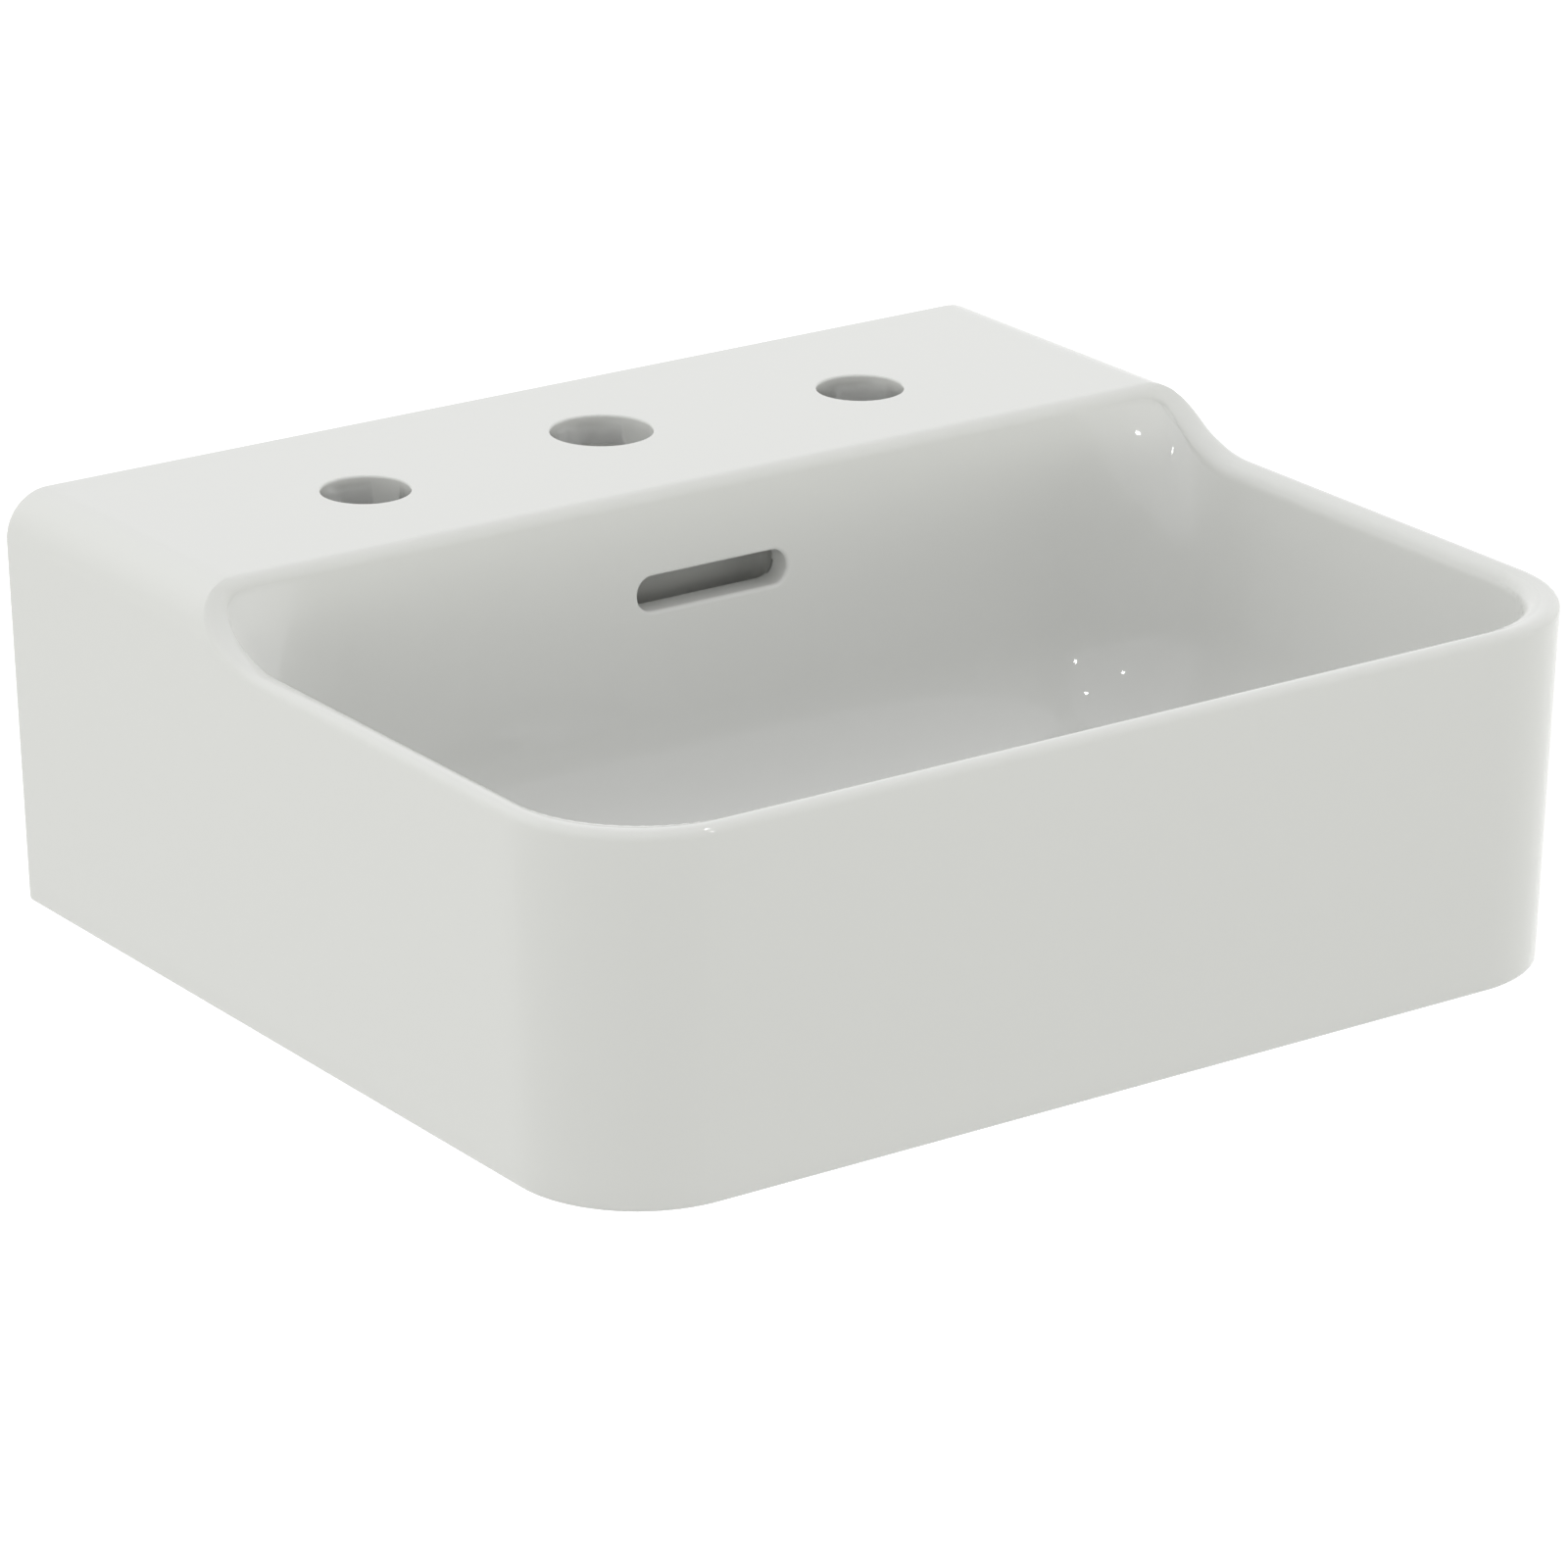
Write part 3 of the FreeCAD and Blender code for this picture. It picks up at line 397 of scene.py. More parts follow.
def outerOutline(inset):
    # Plan of the outer form, in from the widest by inset: left side, corner, front, and mirrored
    half, front = basin["halfWidth"] - inset, basin["depth"] - inset
    radius = basin["frontCorner"] - inset
    sides = slice(0, len(allDepths))
    corner = slice(sides.stop, sides.stop + len(cornerTurns))
    middle = slice(corner.stop, corner.stop + len(frontShares))
    reference = basin["depth"] - basin["frontCorner"]
    x = np.concatenate([-half[sides],
                        -(half[corner] - radius[corner] * (1 - np.cos(cornerTurns))),
                        frontShares * (basin["halfWidth"] - basin["frontCorner"])])
    y = np.concatenate([-allDepths * (front[sides] - radius[sides]) / reference,
                        -(front[corner] - radius[corner] * (1 - np.sin(cornerTurns))),
                        -front[middle]])
    return np.concatenate([x, -x[:corner.stop][::-1]]), np.concatenate([y, y[:corner.stop][::-1]])


def outerSkin():
    # Profile carried round the outer form: foot rounding, wall, shoulder arc, rim rounding.
    # The small rim rounding rolls on the shoulder's arc, or on the wall where the top is lower
    half = np.concatenate([topLevel(allDepths), np.full(len(cornerTurns), basin["rimHeight"])])
    top = np.concatenate([half, np.full(len(frontShares), basin["rimHeight"]), half[::-1]])
    big, small = basin["shoulder"], basin["rimOuter"]
    bigCentre = np.array([big * stretch + wallInset(basin["deckHeight"] - big),
                          basin["deckHeight"] - big])
    rise = (top - bigCentre[1] - small) / (big - small)
    onShoulder = rise > -math.sin(slant)
    start = np.where(onShoulder, np.arcsin(np.clip(rise, -1, 1)), -slant)
    centreHeight = top - small
    onWall = small * stretch + wallInset(centreHeight)
    onArc = bigCentre[0] - np.sqrt(np.maximum((big - small) ** 2 * (1 - rise ** 2), 0))
    centreInset = np.where(onShoulder, onArc, onWall)
    rows = []
    foot = basin["footEdge"]
    footCentre = foot * stretch + wallInset(foot)
    for angle in np.linspace(-math.pi / 2, -slant, rowCounts["foot"]):
        rows.append((footCentre - foot * math.cos(angle) + 0 * top,
                     foot + foot * math.sin(angle) + 0 * top))
    lowInset, lowHeight = rows[-1]
    wallInsetTop = np.where(onShoulder, bigCentre[0] - big * math.cos(slant),
                            centreInset - small * math.cos(slant))
    wallTop = np.where(onShoulder, bigCentre[1] - big * math.sin(slant),
                       centreHeight - small * math.sin(slant))
    for share in shares("side"):
        rows.append((lowInset + (wallInsetTop - lowInset) * share,
                     lowHeight + (wallTop - lowHeight) * share))
    for share in shares("shoulder"):
        angle = -slant + (start + slant) * share
        rows.append((np.where(onShoulder, bigCentre[0] - big * np.cos(angle), wallInsetTop),
                     np.where(onShoulder, bigCentre[1] + big * np.sin(angle), wallTop)))
    for share in shares("rim"):
        angle = start + (math.pi / 2 - start) * share
        rows.append((centreInset - small * np.cos(angle), centreHeight + small * np.sin(angle)))
    net = np.array([np.stack([*outerOutline(inset), height], axis=-1) for inset, height in rows])
    return net, gridFaces(*net.shape[:2])


def bowlOutline(height, squareness):
    # Plan of the bowl at a height for every sample round it, starting where the left side
    # leaves the deck: squareness 1 gives square back corners, 0 round ones
    fall = (basin["deckHeight"] - height) / (basin["deckHeight"] - basin["bowlFloor"])
    half = basin["halfWidth"] - basin["wallThickness"] - basin["bowlDraft"] * fall
    front = basin["depth"] - basin["wallThickness"] - basin["bowlDraft"] * fall
    back = basin["bowlBack"] + basin["bowlBackDraft"] * fall
    radius = basin["frontRadius"] + (basin["floorRadius"] - basin["frontRadius"]) * fall
    reach = basin["cornerReach"] + 0 * fall
    power = basin["cornerPower"]
    square = (np.abs(np.cos(loop["turn"])) ** power
              + np.abs(np.sin(loop["turn"])) ** power) ** (-1 / power)
    out = reach * (1 + (square - 1) * squareness)
    x = np.select(loop["is"], [
        half - reach + out * np.cos(loop["turn"]),
        half,
        half - radius * (1 - np.cos(loop["turn"])),
        loop["share"] * (half - radius),
        loop["share"] * (half - reach),
    ])
    y = np.select(loop["is"], [
        back + reach - out * np.sin(loop["turn"]),
        back + reach + (front - radius - back - reach) * loop["share"],
        front - radius * (1 - np.sin(loop["turn"])),
        front,
        back,
    ])
    return x * loop["side"], -y


def bowlLoop():
    # Samples round the bowl: the part each is in (0 back corner, 1 side, 2 front corner,
    # 3 front, 4 back), its turn or share there, and its side
    deckEnd = math.radians(basin["deckEndTurn"])
    lipTurn = np.linspace(deckEnd, math.radians(45), len(depths["lip"]) + 1)[:-1]
    sweepTurn = np.arctan((basin["bowlBack"] + basin["cornerReach"] - depths["sweep"])
                          / basin["cornerReach"])
    left = [
        (0, lipTurn), (0, sweepTurn),
        (1, np.linspace(0, 1, len(depths["straight"]) + 1)[1:]),
        (2, cornerTurns),
    ]
    slotShare = basin["panelHalf"] / (basin["halfWidth"] - basin["wallThickness"]
                                      - basin["cornerReach"])
    backTurn = np.linspace(deckEnd, math.pi / 2, 30)[1:-1]
    beside = np.linspace(1, slotShare, besideSlot + 1)
    overSlot = np.linspace(slotShare, -slotShare, slotColumns + 1)[1:-1]
    middleShares = np.concatenate([beside, overSlot, -beside[::-1]])
    parts = [(part, value, -1) for part, value in left]
    parts.append((3, -frontShares, -1))
    parts += [(part, value[::-1], 1) for part, value in left[::-1]]
    parts += [(0, backTurn, 1), (4, middleShares, 1), (0, backTurn[::-1], -1)]
    kind = np.concatenate([np.full(len(value), part) for part, value, sign in parts])
    value = np.concatenate([value for part, value, sign in parts])
    side = np.concatenate([np.full(len(value), sign) for part, value, sign in parts])
    return {
        "is": [kind == part for part in range(5)],
        "turn": np.where((kind == 0) | (kind == 2), value, 0),
        "share": np.where((kind == 0) | (kind == 2), 0, value),
        "side": side,
    }


loop = bowlLoop()


def easeShare(value):
    # 0 below 0, 1 above 1, and a smooth S between
    value = np.clip(value, 0, 1)
    return value * value * (3 - 2 * value)


def lipHeights():
    # Where the wall under the rim's rounding begins, lower on the sides than on the back
    highest = np.full(len(loop["side"]), float(basin["deckHeight"]))
    x, y = bowlOutline(highest, 1)
    isCorner = loop["is"][0]
    begin, spread = basin["backLipTurn"]
    backness = np.where(isCorner, easeShare((loop["turn"] - begin) / spread),
                        loop["is"][4] * 1.0)
    lip = basin["sideLip"] + (basin["backLip"] - basin["sideLip"]) * backness
    return topLevel(-y) - lip


lipLevel = lipHeights()
turnStart = basin["bowlFloor"] + basin["bowlFloorRounding"]


def wallShares():
    # Shares of the way down the wall, with lines on the slot panel's edges
    top = lipLevel[loop["is"][4]][0]
    high = (top - basin["panelHigh"]) / (top - turnStart)
    low = (top - basin["panelLow"]) / (top - turnStart)
    over, beside, under = [rowCounts[run] for run in ("overPanel", "panel", "underPanel")]
    runs = [np.linspace(0, high, over), np.linspace(high, low, beside)[1:],
            np.linspace(low, 1, under)[1:]]
    return np.concatenate(runs), over - 1, over + beside - 2


def startCurve(outer):
    # The rim's inner line: the outer skin's last row on the sides, the deck's front edge behind
    deckCount = len(depths["deck"])
    rim = outer[-1][deckCount:-deckCount]
    corner = basin["halfWidth"] - basin["wallThickness"] - basin["cornerReach"]
    behind = ~np.isin(np.arange(len(loop["side"])), np.arange(len(rim)))
    away = (math.pi / 2 - loop["turn"]) / math.radians(90 - basin["deckEndTurn"])
    x = np.where(loop["is"][0], corner + (deckHalf - corner) * away, corner * loop["share"])
    x = (x * loop["side"])[behind]
    back = np.stack([x, np.full(len(x), -deckFront), np.full(len(x), float(basin["deckHeight"]))],
                    axis=-1)
    return np.concatenate([rim, back]), behind


def bowlSkin(outer):
    # Rim rounding as a Bezier sweep, wall between two outlines, floor arc, floor, dish, seat
    start, behind = startCurve(outer)
    x, y = bowlOutline(lipLevel, 1)
    wallTop = np.stack([x, y, lipLevel], axis=-1)
    across = wallTop - start
    slope = np.gradient(stepPath[:, 1], stepPath[:, 0])
    steep = np.interp(-start[:, 1], stepPath[:, 0], slope) * ~behind
    pull = 0.5523  # with it a Bezier curve follows a quarter circle
    first = start + across * pull
    first[:, 2] = start[:, 2] - steep * across[:, 1] * pull
    last = wallTop.copy()
    last[:, 2] += (start[:, 2] - wallTop[:, 2]) * pull
    rows = []
    for t in np.linspace(0, 1, rowCounts["lip"]):
        rows.append((1 - t) ** 3 * start + 3 * (1 - t) ** 2 * t * first
                    + 3 * (1 - t) * t * t * last + t ** 3 * wallTop)
    downWall, panelFirst, panelLast = wallShares()
    panelRows = (len(rows) - 1 + panelFirst, len(rows) - 1 + panelLast)
    for share in downWall[1:]:
        height = lipLevel + (turnStart - lipLevel) * share
        squareness = np.clip(1 - (lipLevel - height) / basin["sailHeight"], 0, 1) ** 2
        x, y = bowlOutline(height, squareness)
        rows.append(np.stack([x, y, height], axis=-1))
    ring = rows[-1][:, :2]
    along = np.roll(ring, -1, axis=0) - np.roll(ring, 1, axis=0)
    inward = np.stack([-along[:, 1], along[:, 0]], axis=-1)
    inward /= np.hypot(inward[:, 0], inward[:, 1])[:, None]
    radius = basin["bowlFloorRounding"]
    for angle in shares("floorArc") * math.pi / 2:
        height = np.full(len(ring), turnStart - radius * math.sin(angle))
        x, y = bowlOutline(height, 0)
        flat = np.column_stack([x, y]) + inward * radius * (1 - math.cos(angle))
        # each point eases towards its neighbours, so that the columns don't cross
        calm = (np.roll(flat, 1, axis=0) + 2 * flat + np.roll(flat, -1, axis=0)) / 4
        flat += (calm - flat) * (1 - math.cos(angle))
        rows.append(np.column_stack([flat, height]))
    centre = np.array(basin["outlet"], float)
    floorRing = rows[-1][:, :2]
    aim = floorRing - centre
    aim /= np.hypot(aim[:, 0], aim[:, 1])[:, None]
    floorHeight = np.full(len(ring), float(basin["bowlFloor"]))
    dish, seat = basin["dishRadius"], basin["seatRadius"]
    for share in shares("floor"):
        flat = floorRing + (centre + aim * dish - floorRing) * share
        rows.append(np.column_stack([flat, floorHeight]))
    for share in shares("dish"):
        flat = centre + aim * (dish + (seat - dish) * share)
        rows.append(np.column_stack([flat, floorHeight - basin["dishFall"] * easeShare(share)]))
    for share in (0.5, 1):
        flat = centre + aim * seat
        level = floorHeight - basin["dishFall"]
        rows.append(np.column_stack([flat, level + (basin["seatLevel"] - level) * share]))
    net = np.array(rows)
    middle = np.flatnonzero(loop["is"][4])
    left, right = middle[besideSlot], middle[besideSlot + slotColumns]
    faces = gridFaces(*net.shape[:2], wrapColumns=True)
    row, column = faces[:, 0] // net.shape[1], faces[:, 0] % net.shape[1]
    inPanel = ((row >= panelRows[0]) & (row < panelRows[1]) & (column >= left) & (column < right))
    panel = net[panelRows[0]:panelRows[1] + 1, left:right + 1]
    return net, faces[~inPanel], panel


def slotSkin(panel):
    # From the panel's border to the slot: nearest point of the slot's core plus a radius
    border = np.concatenate([panel[0, :-1], panel[:-1, -1], panel[-1, :0:-1], panel[:0:-1, 0]])
    end = basin["slotEnd"]
    coreX = np.clip(border[:, 0], -(basin["slotLength"] / 2 - end), basin["slotLength"] / 2 - end)
    rise = border[:, 2] - basin["slotLevel"]
    coreZ = np.clip(rise, -(basin["slotHeight"] / 2 - end), basin["slotHeight"] / 2 - end)
    away = np.stack([border[:, 0] - coreX, rise - coreZ], axis=-1)
    far = np.hypot(away[:, 0], away[:, 1])
    away /= far[:, None]
    edge = basin["slotEdge"]
    rings = [(far, 0)] + [(far + (end + edge - far) * share, 0) for share in shares("slotFlat")]
    rings += [(end + edge * (1 - math.sin(angle)), edge * (1 - math.cos(angle)))
              for angle in shares("slotArc") * math.pi / 2]
    rings += [(end + 0 * far, edge + (basin["slotDepth"] - edge) * share)
              for share in shares("slotWall")]
    rows = []
    for out, inside in rings:
        x = coreX + away[:, 0] * out
        z = basin["slotLevel"] + coreZ + away[:, 1] * out
        fall = (basin["deckHeight"] - z) / (basin["deckHeight"] - basin["bowlFloor"])
        y = -(basin["bowlBack"] + basin["bowlBackDraft"] * fall) + inside
        rows.append(np.stack([x, y, z], axis=-1))
    net = np.array(rows)
    return net, gridFaces(*net.shape[:2], wrapColumns=True)


def glazeShell():
    # The glazed skin, given a thin wall inwards so that it is a closed piece
    outer, outerFaces = outerSkin()
    bowl, bowlFaces, panel = bowlSkin(outer)
    slot, slotFaces = slotSkin(panel)
    mesh = meshFrom("glazeSheet", [(outer, outerFaces), (bowl, bowlFaces), (slot, slotFaces)])
    sheet = bpy.data.objects.new("glazeSheet", mesh)
    bpy.context.scene.collection.objects.link(sheet)
    wall = sheet.modifiers.new("thickness", "SOLIDIFY")
    wall.thickness = basin["glazeThickness"] * millimetre
    wall.offset = -1
    view = bpy.context.evaluated_depsgraph_get()
    shell = bpy.data.meshes.new_from_object(sheet.evaluated_get(view))
    shell.name = "glazedSkin"
    bpy.data.objects.remove(sheet)
    return shell


glazed = addPiece(glazeShell(), glazeMaterial, nodes["basin_china"]["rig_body"])
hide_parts("basin_china")
print("glazed skin made:", len(glazed.data.polygons), "faces")


chinaUnder = {
    "inset": 0.5,      # how far it goes in under the skin
    "deckKeep": 11,    # so far below the deck, the deck and its holes stay in place
    "deckSlack": 0.05,
    "wallKeep": 3.05,  # so near the wall, and on the foot, everything stays in place
    "footSlack": 0.01,
    "bareSlack": 0.02,  # faces so near the wall or the foot are bare clay
}


def drawnInBody(values):
    # The solid's own mesh under the skin, drawn in a little where the skin covers it
    piece = mergedCopy("basin_china", "chinaBody", 30)
    mesh = piece.data
    place = readArray(mesh.vertices, "co")
    normal = readArray(mesh.vertex_normals, "vector")
    local = place / millimetre
    height = local[:, 2] - footLevel
    slack = values["deckSlack"]
    onDeck = ((np.abs(local[:, 0]) < deckHalf + slack) & (local[:, 1] > -deckFront - slack)
              & (height > basin["deckHeight"] - values["deckKeep"]))
    keep = onDeck | (local[:, 1] > -values["wallKeep"]) | (height < values["footSlack"])
    place[~keep] -= normal[~keep] * values["inset"] * millimetre
    mesh.vertices.foreach_set("co", place.reshape(-1))
    mesh.materials.append(glazeMaterial)
    mesh.materials.append(clayMaterial)
    middle = readArray(mesh.polygons, "center") / millimetre
    near = values["bareSlack"]
    bare = (middle[:, 1] > -near) | (middle[:, 2] - footLevel < near)
    mesh.polygons.foreach_set("material_index", bare.astype(np.int32))
    weights = piece.modifiers.new("flatFacesLead", "WEIGHTED_NORMAL")
    weights.keep_sharp = True
    weights.weight = 50
    return piece


chinaBody = drawnInBody(chinaUnder)
print("china made")

axisPlace = np.array([*basin["outlet"], 0.0])  # the outlet's centre line


def makeHandlingGroup():
    # Cloudy mask of touched and untouched places, with fine specks in it
    group, given, out = newGroup("handlingMarks", [
        ("Vector", "NodeSocketVector", None), ("Cloud Size", "NodeSocketFloat", 60.0),
        ("Speck Size", "NodeSocketFloat", 900.0), ("Speck Share", "NodeSocketFloat", 0.3),
    ], [("Mask", "NodeSocketFloat")])
    mix = group.nodes.new("ShaderNodeMix")
    for label, detail, side in (("Cloud Size", 3, "A"), ("Speck Size", 2, "B")):
        noise = group.nodes.new("ShaderNodeTexNoise")
        noise.inputs["Detail"].default_value = detail
        link(group, given.outputs["Vector"], noise.inputs["Vector"])
        link(group, given.outputs[label], noise.inputs["Scale"])
        link(group, noise.outputs["Fac"], mix.inputs[side])
    link(group, given.outputs["Speck Share"], mix.inputs["Factor"])
    link(group, mix.outputs["Result"], out.inputs["Mask"])
    return group


def makeTurningGroup():
    # Fine rings left by the lathe, round the outlet's centre line
    group, given, out = newGroup("turningRings", [
        ("Vector", "NodeSocketVector", None), ("Rings Size", "NodeSocketFloat", 900.0),
    ], [("Height", "NodeSocketFloat")])
    centre = group.nodes.new("ShaderNodeMapping")
    centre.inputs["Location"].default_value = -axisPlace * millimetre
    link(group, given.outputs["Vector"], centre.inputs["Vector"])
    rings = group.nodes.new("ShaderNodeTexWave")
    rings.wave_type = "RINGS"
    rings.rings_direction = "Z"
    rings.inputs["Distortion"].default_value = 0.4
    rings.inputs["Detail"].default_value = 2
    link(group, centre.outputs["Vector"], rings.inputs["Vector"])
    link(group, given.outputs["Rings Size"], rings.inputs["Scale"])
    link(group, rings.outputs["Fac"], out.inputs["Height"])
    return group


ringDepth, markDepth = 0.0002, 0.0003  # in metres
handlingMarks = makeHandlingGroup()
turningRings = makeTurningGroup()


def placeGroup(tree, group, values):
    # A group in a material, on the piece's own coordinates and with its own values
    node = tree.nodes.new("ShaderNodeGroup")
    node.node_tree = group
    link(tree, objectPlace(tree), node.inputs["Vector"])
    for label, value in values.items():
        node.inputs[label].default_value = value
    return node


def makeFinish(name, values):
    # Colour and roughness wander between two values over the handling mask
    material, tree, shader = newMaterial(name, metallic=values["metallic"])
    marks = placeGroup(tree, handlingMarks, {
        "Cloud Size": values["cloudSize"], "Speck Size": values["speckSize"],
        "Speck Share": values["speckShare"]})
    mask = mapRange(tree, marks.outputs["Mask"], *cloudSpan, 0, 1)
    link(tree, colourMix(tree, mask, values["colour"], values["markColour"]),
         shader.inputs["Base Color"])
    link(tree, mapRange(tree, mask, 0, 1, *values["roughness"]), shader.inputs["Roughness"])
    if values["rings"]:
        rings = placeGroup(tree, turningRings, {"Rings Size": values["rings"]})
        addBump(tree, shader, rings.outputs["Height"], values["bump"], ringDepth)
    else:
        addBump(tree, shader, marks.outputs["Mask"], values["bump"], markDepth)
    return material


finishes = {
    "chromePlate": {
        "slot": "chromed_brass",
        "metallic": 1.0, "colour": (0.80, 0.80, 0.81, 1), "markColour": (0.76, 0.77, 0.78, 1),
        "roughness": (0.05, 0.11), "cloudSize": 40.0, "speckSize": 700.0, "speckShare": 0.2,
        "rings": 0, "bump": 0.02},
    "turnedBrass": {
        "slot": "plain_brass",
        "metallic": 1.0, "colour": (0.72, 0.58, 0.30, 1), "markColour": (0.60, 0.45, 0.22, 1),
        "roughness": (0.22, 0.38), "cloudSize": 90.0, "speckSize": 1200.0, "speckShare": 0.35,
        "rings": 700.0, "bump": 0.12},
    "sealRubber": {
        "slot": "seal_rubber",
        "metallic": 0.0, "colour": (0.045, 0.045, 0.047, 1),
        "markColour": (0.075, 0.074, 0.072, 1),
        "roughness": (0.55, 0.75), "cloudSize": 70.0, "speckSize": 1600.0, "speckShare": 0.5,
        "rings": 0, "bump": 0.25},
    "whiteAcetal": {
        "slot": "white_plastic",
        "metallic": 0.0, "colour": (0.82, 0.82, 0.80, 1), "markColour": (0.77, 0.77, 0.745, 1),
        "roughness": (0.32, 0.45), "cloudSize": 80.0, "speckSize": 900.0, "speckShare": 0.3,
        "rings": 0, "bump": 0.08},
    "drawnSteel": {
        "slot": "spring_steel",
        "metallic": 1.0, "colour": (0.60, 0.60, 0.60, 1), "markColour": (0.52, 0.52, 0.53, 1),
        "roughness": (0.22, 0.34), "cloudSize": 110.0, "speckSize": 1500.0, "speckShare": 0.4,
        "rings": 1300.0, "bump": 0.1},
}
made = {name: makeFinish(name, values) for name, values in finishes.items()}
print("metal, rubber and plastic made")


def turnRound(radius, height, angle):
    # Points at a radius and height, carried round the outlet's centre line
    points = np.broadcast_arrays(radius * np.cos(angle), radius * np.sin(angle), height)
    return np.stack(points, axis=-1) + axisPlace


def fullTurn(around):
    # Angles of one turn in equal steps
    return np.linspace(0, 2 * math.pi, around, endpoint=False)


def turnedNet(corners, around, steps):
    # A closed profile, corners rounded, carried round the outlet's centre line
    solid = corners[0][0] == 0
    if solid:
        path = roundedPath(corners, steps)
    else:
        middle = tuple((np.array(corners[0][:2]) + np.array(corners[-1][:2])) / 2) + (0,)
        path = roundedPath([middle] + list(corners) + [middle], steps)[:-1]
    net = turnRound(path[:, :1], path[:, 1:], fullTurn(around))
    return net, gridFaces(*net.shape[:2], wrapRows=not solid, wrapColumns=True)


def wastePiece(name, node, nets, finish, sharpAngle):
    # A piece of the waste in place of its node, with its finish's material
    piece = addPiece(meshFrom(name, nets, closed=True), made[finish], nodes[node]["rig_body"],
                     sharpAngle)
    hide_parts(node)
    return piece


tail = {
    "radius": 20.95,
    "drawnIn": (-43.49, 10.1),  # heights between which its outer wall goes in
    "drawnSlack": 0.02,         # how far that wall goes under the root of the threads
    "threads": [(-43.4, -23.6), (-21.4, 9.4)],  # lower and upper end of each run
    "inner": 19.2,              # radius of their inner face, inside the tail's wall
    "pitch": 2.309, "depth": 1.1, "runOut": 1.2, "rowsPerTurn": 10, "around": 96,
    "crest": (1.25, 0.125),     # steepens the wave and cuts it flat at crest and root
}


def threadNet(low, high):
    # Ring whose outer face rises and falls with height and turn, as a screw thread does
    angle = fullTurn(tail["around"])
    rows = int((high - low) / tail["pitch"] * tail["rowsPerTurn"])
    height = np.linspace(low, high, rows)[:, None]
    phase = height / tail["pitch"] - angle / (2 * math.pi)
    wave = np.abs(2 * (phase - np.floor(phase)) - 1)
    steep, cut = tail["crest"]
    crest = np.clip(wave * steep - cut, 0, 1)
    fade = np.clip(np.minimum(height - low, high - height) / tail["runOut"], 0, 1)
    outer = turnRound(tail["radius"] - tail["depth"] * (1 - crest * fade), height, angle)
    bore = turnRound(tail["inner"], np.array([[high], [low]]), angle)
    net = np.concatenate([outer, bore])
    return net, gridFaces(*net.shape[:2], wrapRows=True, wrapColumns=True)


nutEdge = {
    # Shares of the chamfer: how high its rows go and how far it cuts in, at the lower and the
    # upper face; then the cones' rise, and the width and depth of the bore's mouths in mm
    "rows": (1.8, 0.9), "cut": (2, 0.8), "steep": 0.6, "mouth": 0.5, "mouthDepth": 0.6,
    "rowsPerMillimetre": 4,
}


def hexNet(flats, low, high, bore, chamfer, around):
    # Round the nut: the hexagon's radius, cut by a cone at both faces; the bore opens at its ends
    angle = fullTurn(around)
    sector = np.mod(angle, math.pi / 3) - math.pi / 6
    hexagon = flats / 2 / np.cos(sector)
    reach = flats / math.sqrt(3)
    rowsLow, rowsHigh = [chamfer * share for share in nutEdge["rows"]]
    cutLow, cutHigh = [chamfer * share for share in nutEdge["cut"]]
    height = np.concatenate([np.linspace(low, low + rowsLow, 8),
                             np.linspace(high - rowsHigh, high, 6)])[:, None]
    steep = nutEdge["steep"] / math.tan(math.radians(30))
    coneLow = reach - cutLow + (height - low) * steep
    coneHigh = reach - cutHigh + (high - height) * steep
    side = turnRound(np.minimum(np.minimum(coneLow, coneHigh), hexagon), height, angle)
    rows = max(int((high - low) * nutEdge["rowsPerMillimetre"]), 6)
    inside = np.linspace(high, low, rows)[:, None]
    fromEnd = np.minimum(inside - low, high - inside)
    mouth = nutEdge["mouth"] * np.clip(1 - fromEnd / nutEdge["mouthDepth"], 0, 1)
    net = np.concatenate([side, turnRound(bore + mouth, inside, angle)])
    return net, gridFaces(*net.shape[:2], wrapRows=True, wrapColumns=True)


def camNet(inner, outer, low, high, tooth, count, around):
    # Ring whose lower face steps up in a row of ratchet teeth
    angle = fullTurn(around)
    across = np.mod(angle + math.pi / count, 2 * math.pi / count) - math.pi / count
    along = across * (inner + outer) / 2
    lift = np.where(np.abs(along) <= tooth, (tooth - along) / 2, 0)
    bottom = low + np.clip(lift, 0, tooth)
    level = np.stack([bottom, bottom, bottom * 0 + high, bottom * 0 + high])
    net = turnRound(np.array([inner, outer, outer, inner])[:, None], level, angle)
    return net, gridFaces(*net.shape[:2], wrapRows=True, wrapColumns=True)


def springNet(radius, wire, low, high, turns, steps, girth):
    # A tube's circle carried along a helix, closed to a point at both ends
    along = np.linspace(0, 1, turns * steps)
    turn = 2 * math.pi * turns * along
    path = np.stack([radius * np.cos(turn), radius * np.sin(turn), low + (high - low) * along],
                    axis=-1)
    outward = np.stack([np.cos(turn), np.sin(turn), 0 * turn], axis=-1)
    forward = np.stack([-np.sin(turn), np.cos(turn),
                        0 * turn + (high - low) / (2 * math.pi * turns * radius)], axis=-1)
    upward = np.cross(outward, forward)
    upward /= np.linalg.norm(upward, axis=1)[:, None]
    angle = fullTurn(girth)[:, None]
    size = np.full(len(along), wire)
    size[[0, -1]] = 0
    net = path[:, None] + size[:, None, None] * (outward[:, None] * np.cos(angle)
                                                 + upward[:, None] * np.sin(angle))
    net = np.concatenate([net[:1], path[:1, None] + (net[1:2] - path[1:2, None]), net[1:-1],
                          path[-1:, None] + (net[-2:-1] - path[-2:-1, None]), net[-1:]])
    return net + axisPlace, gridFaces(*net.shape[:2], wrapColumns=True)


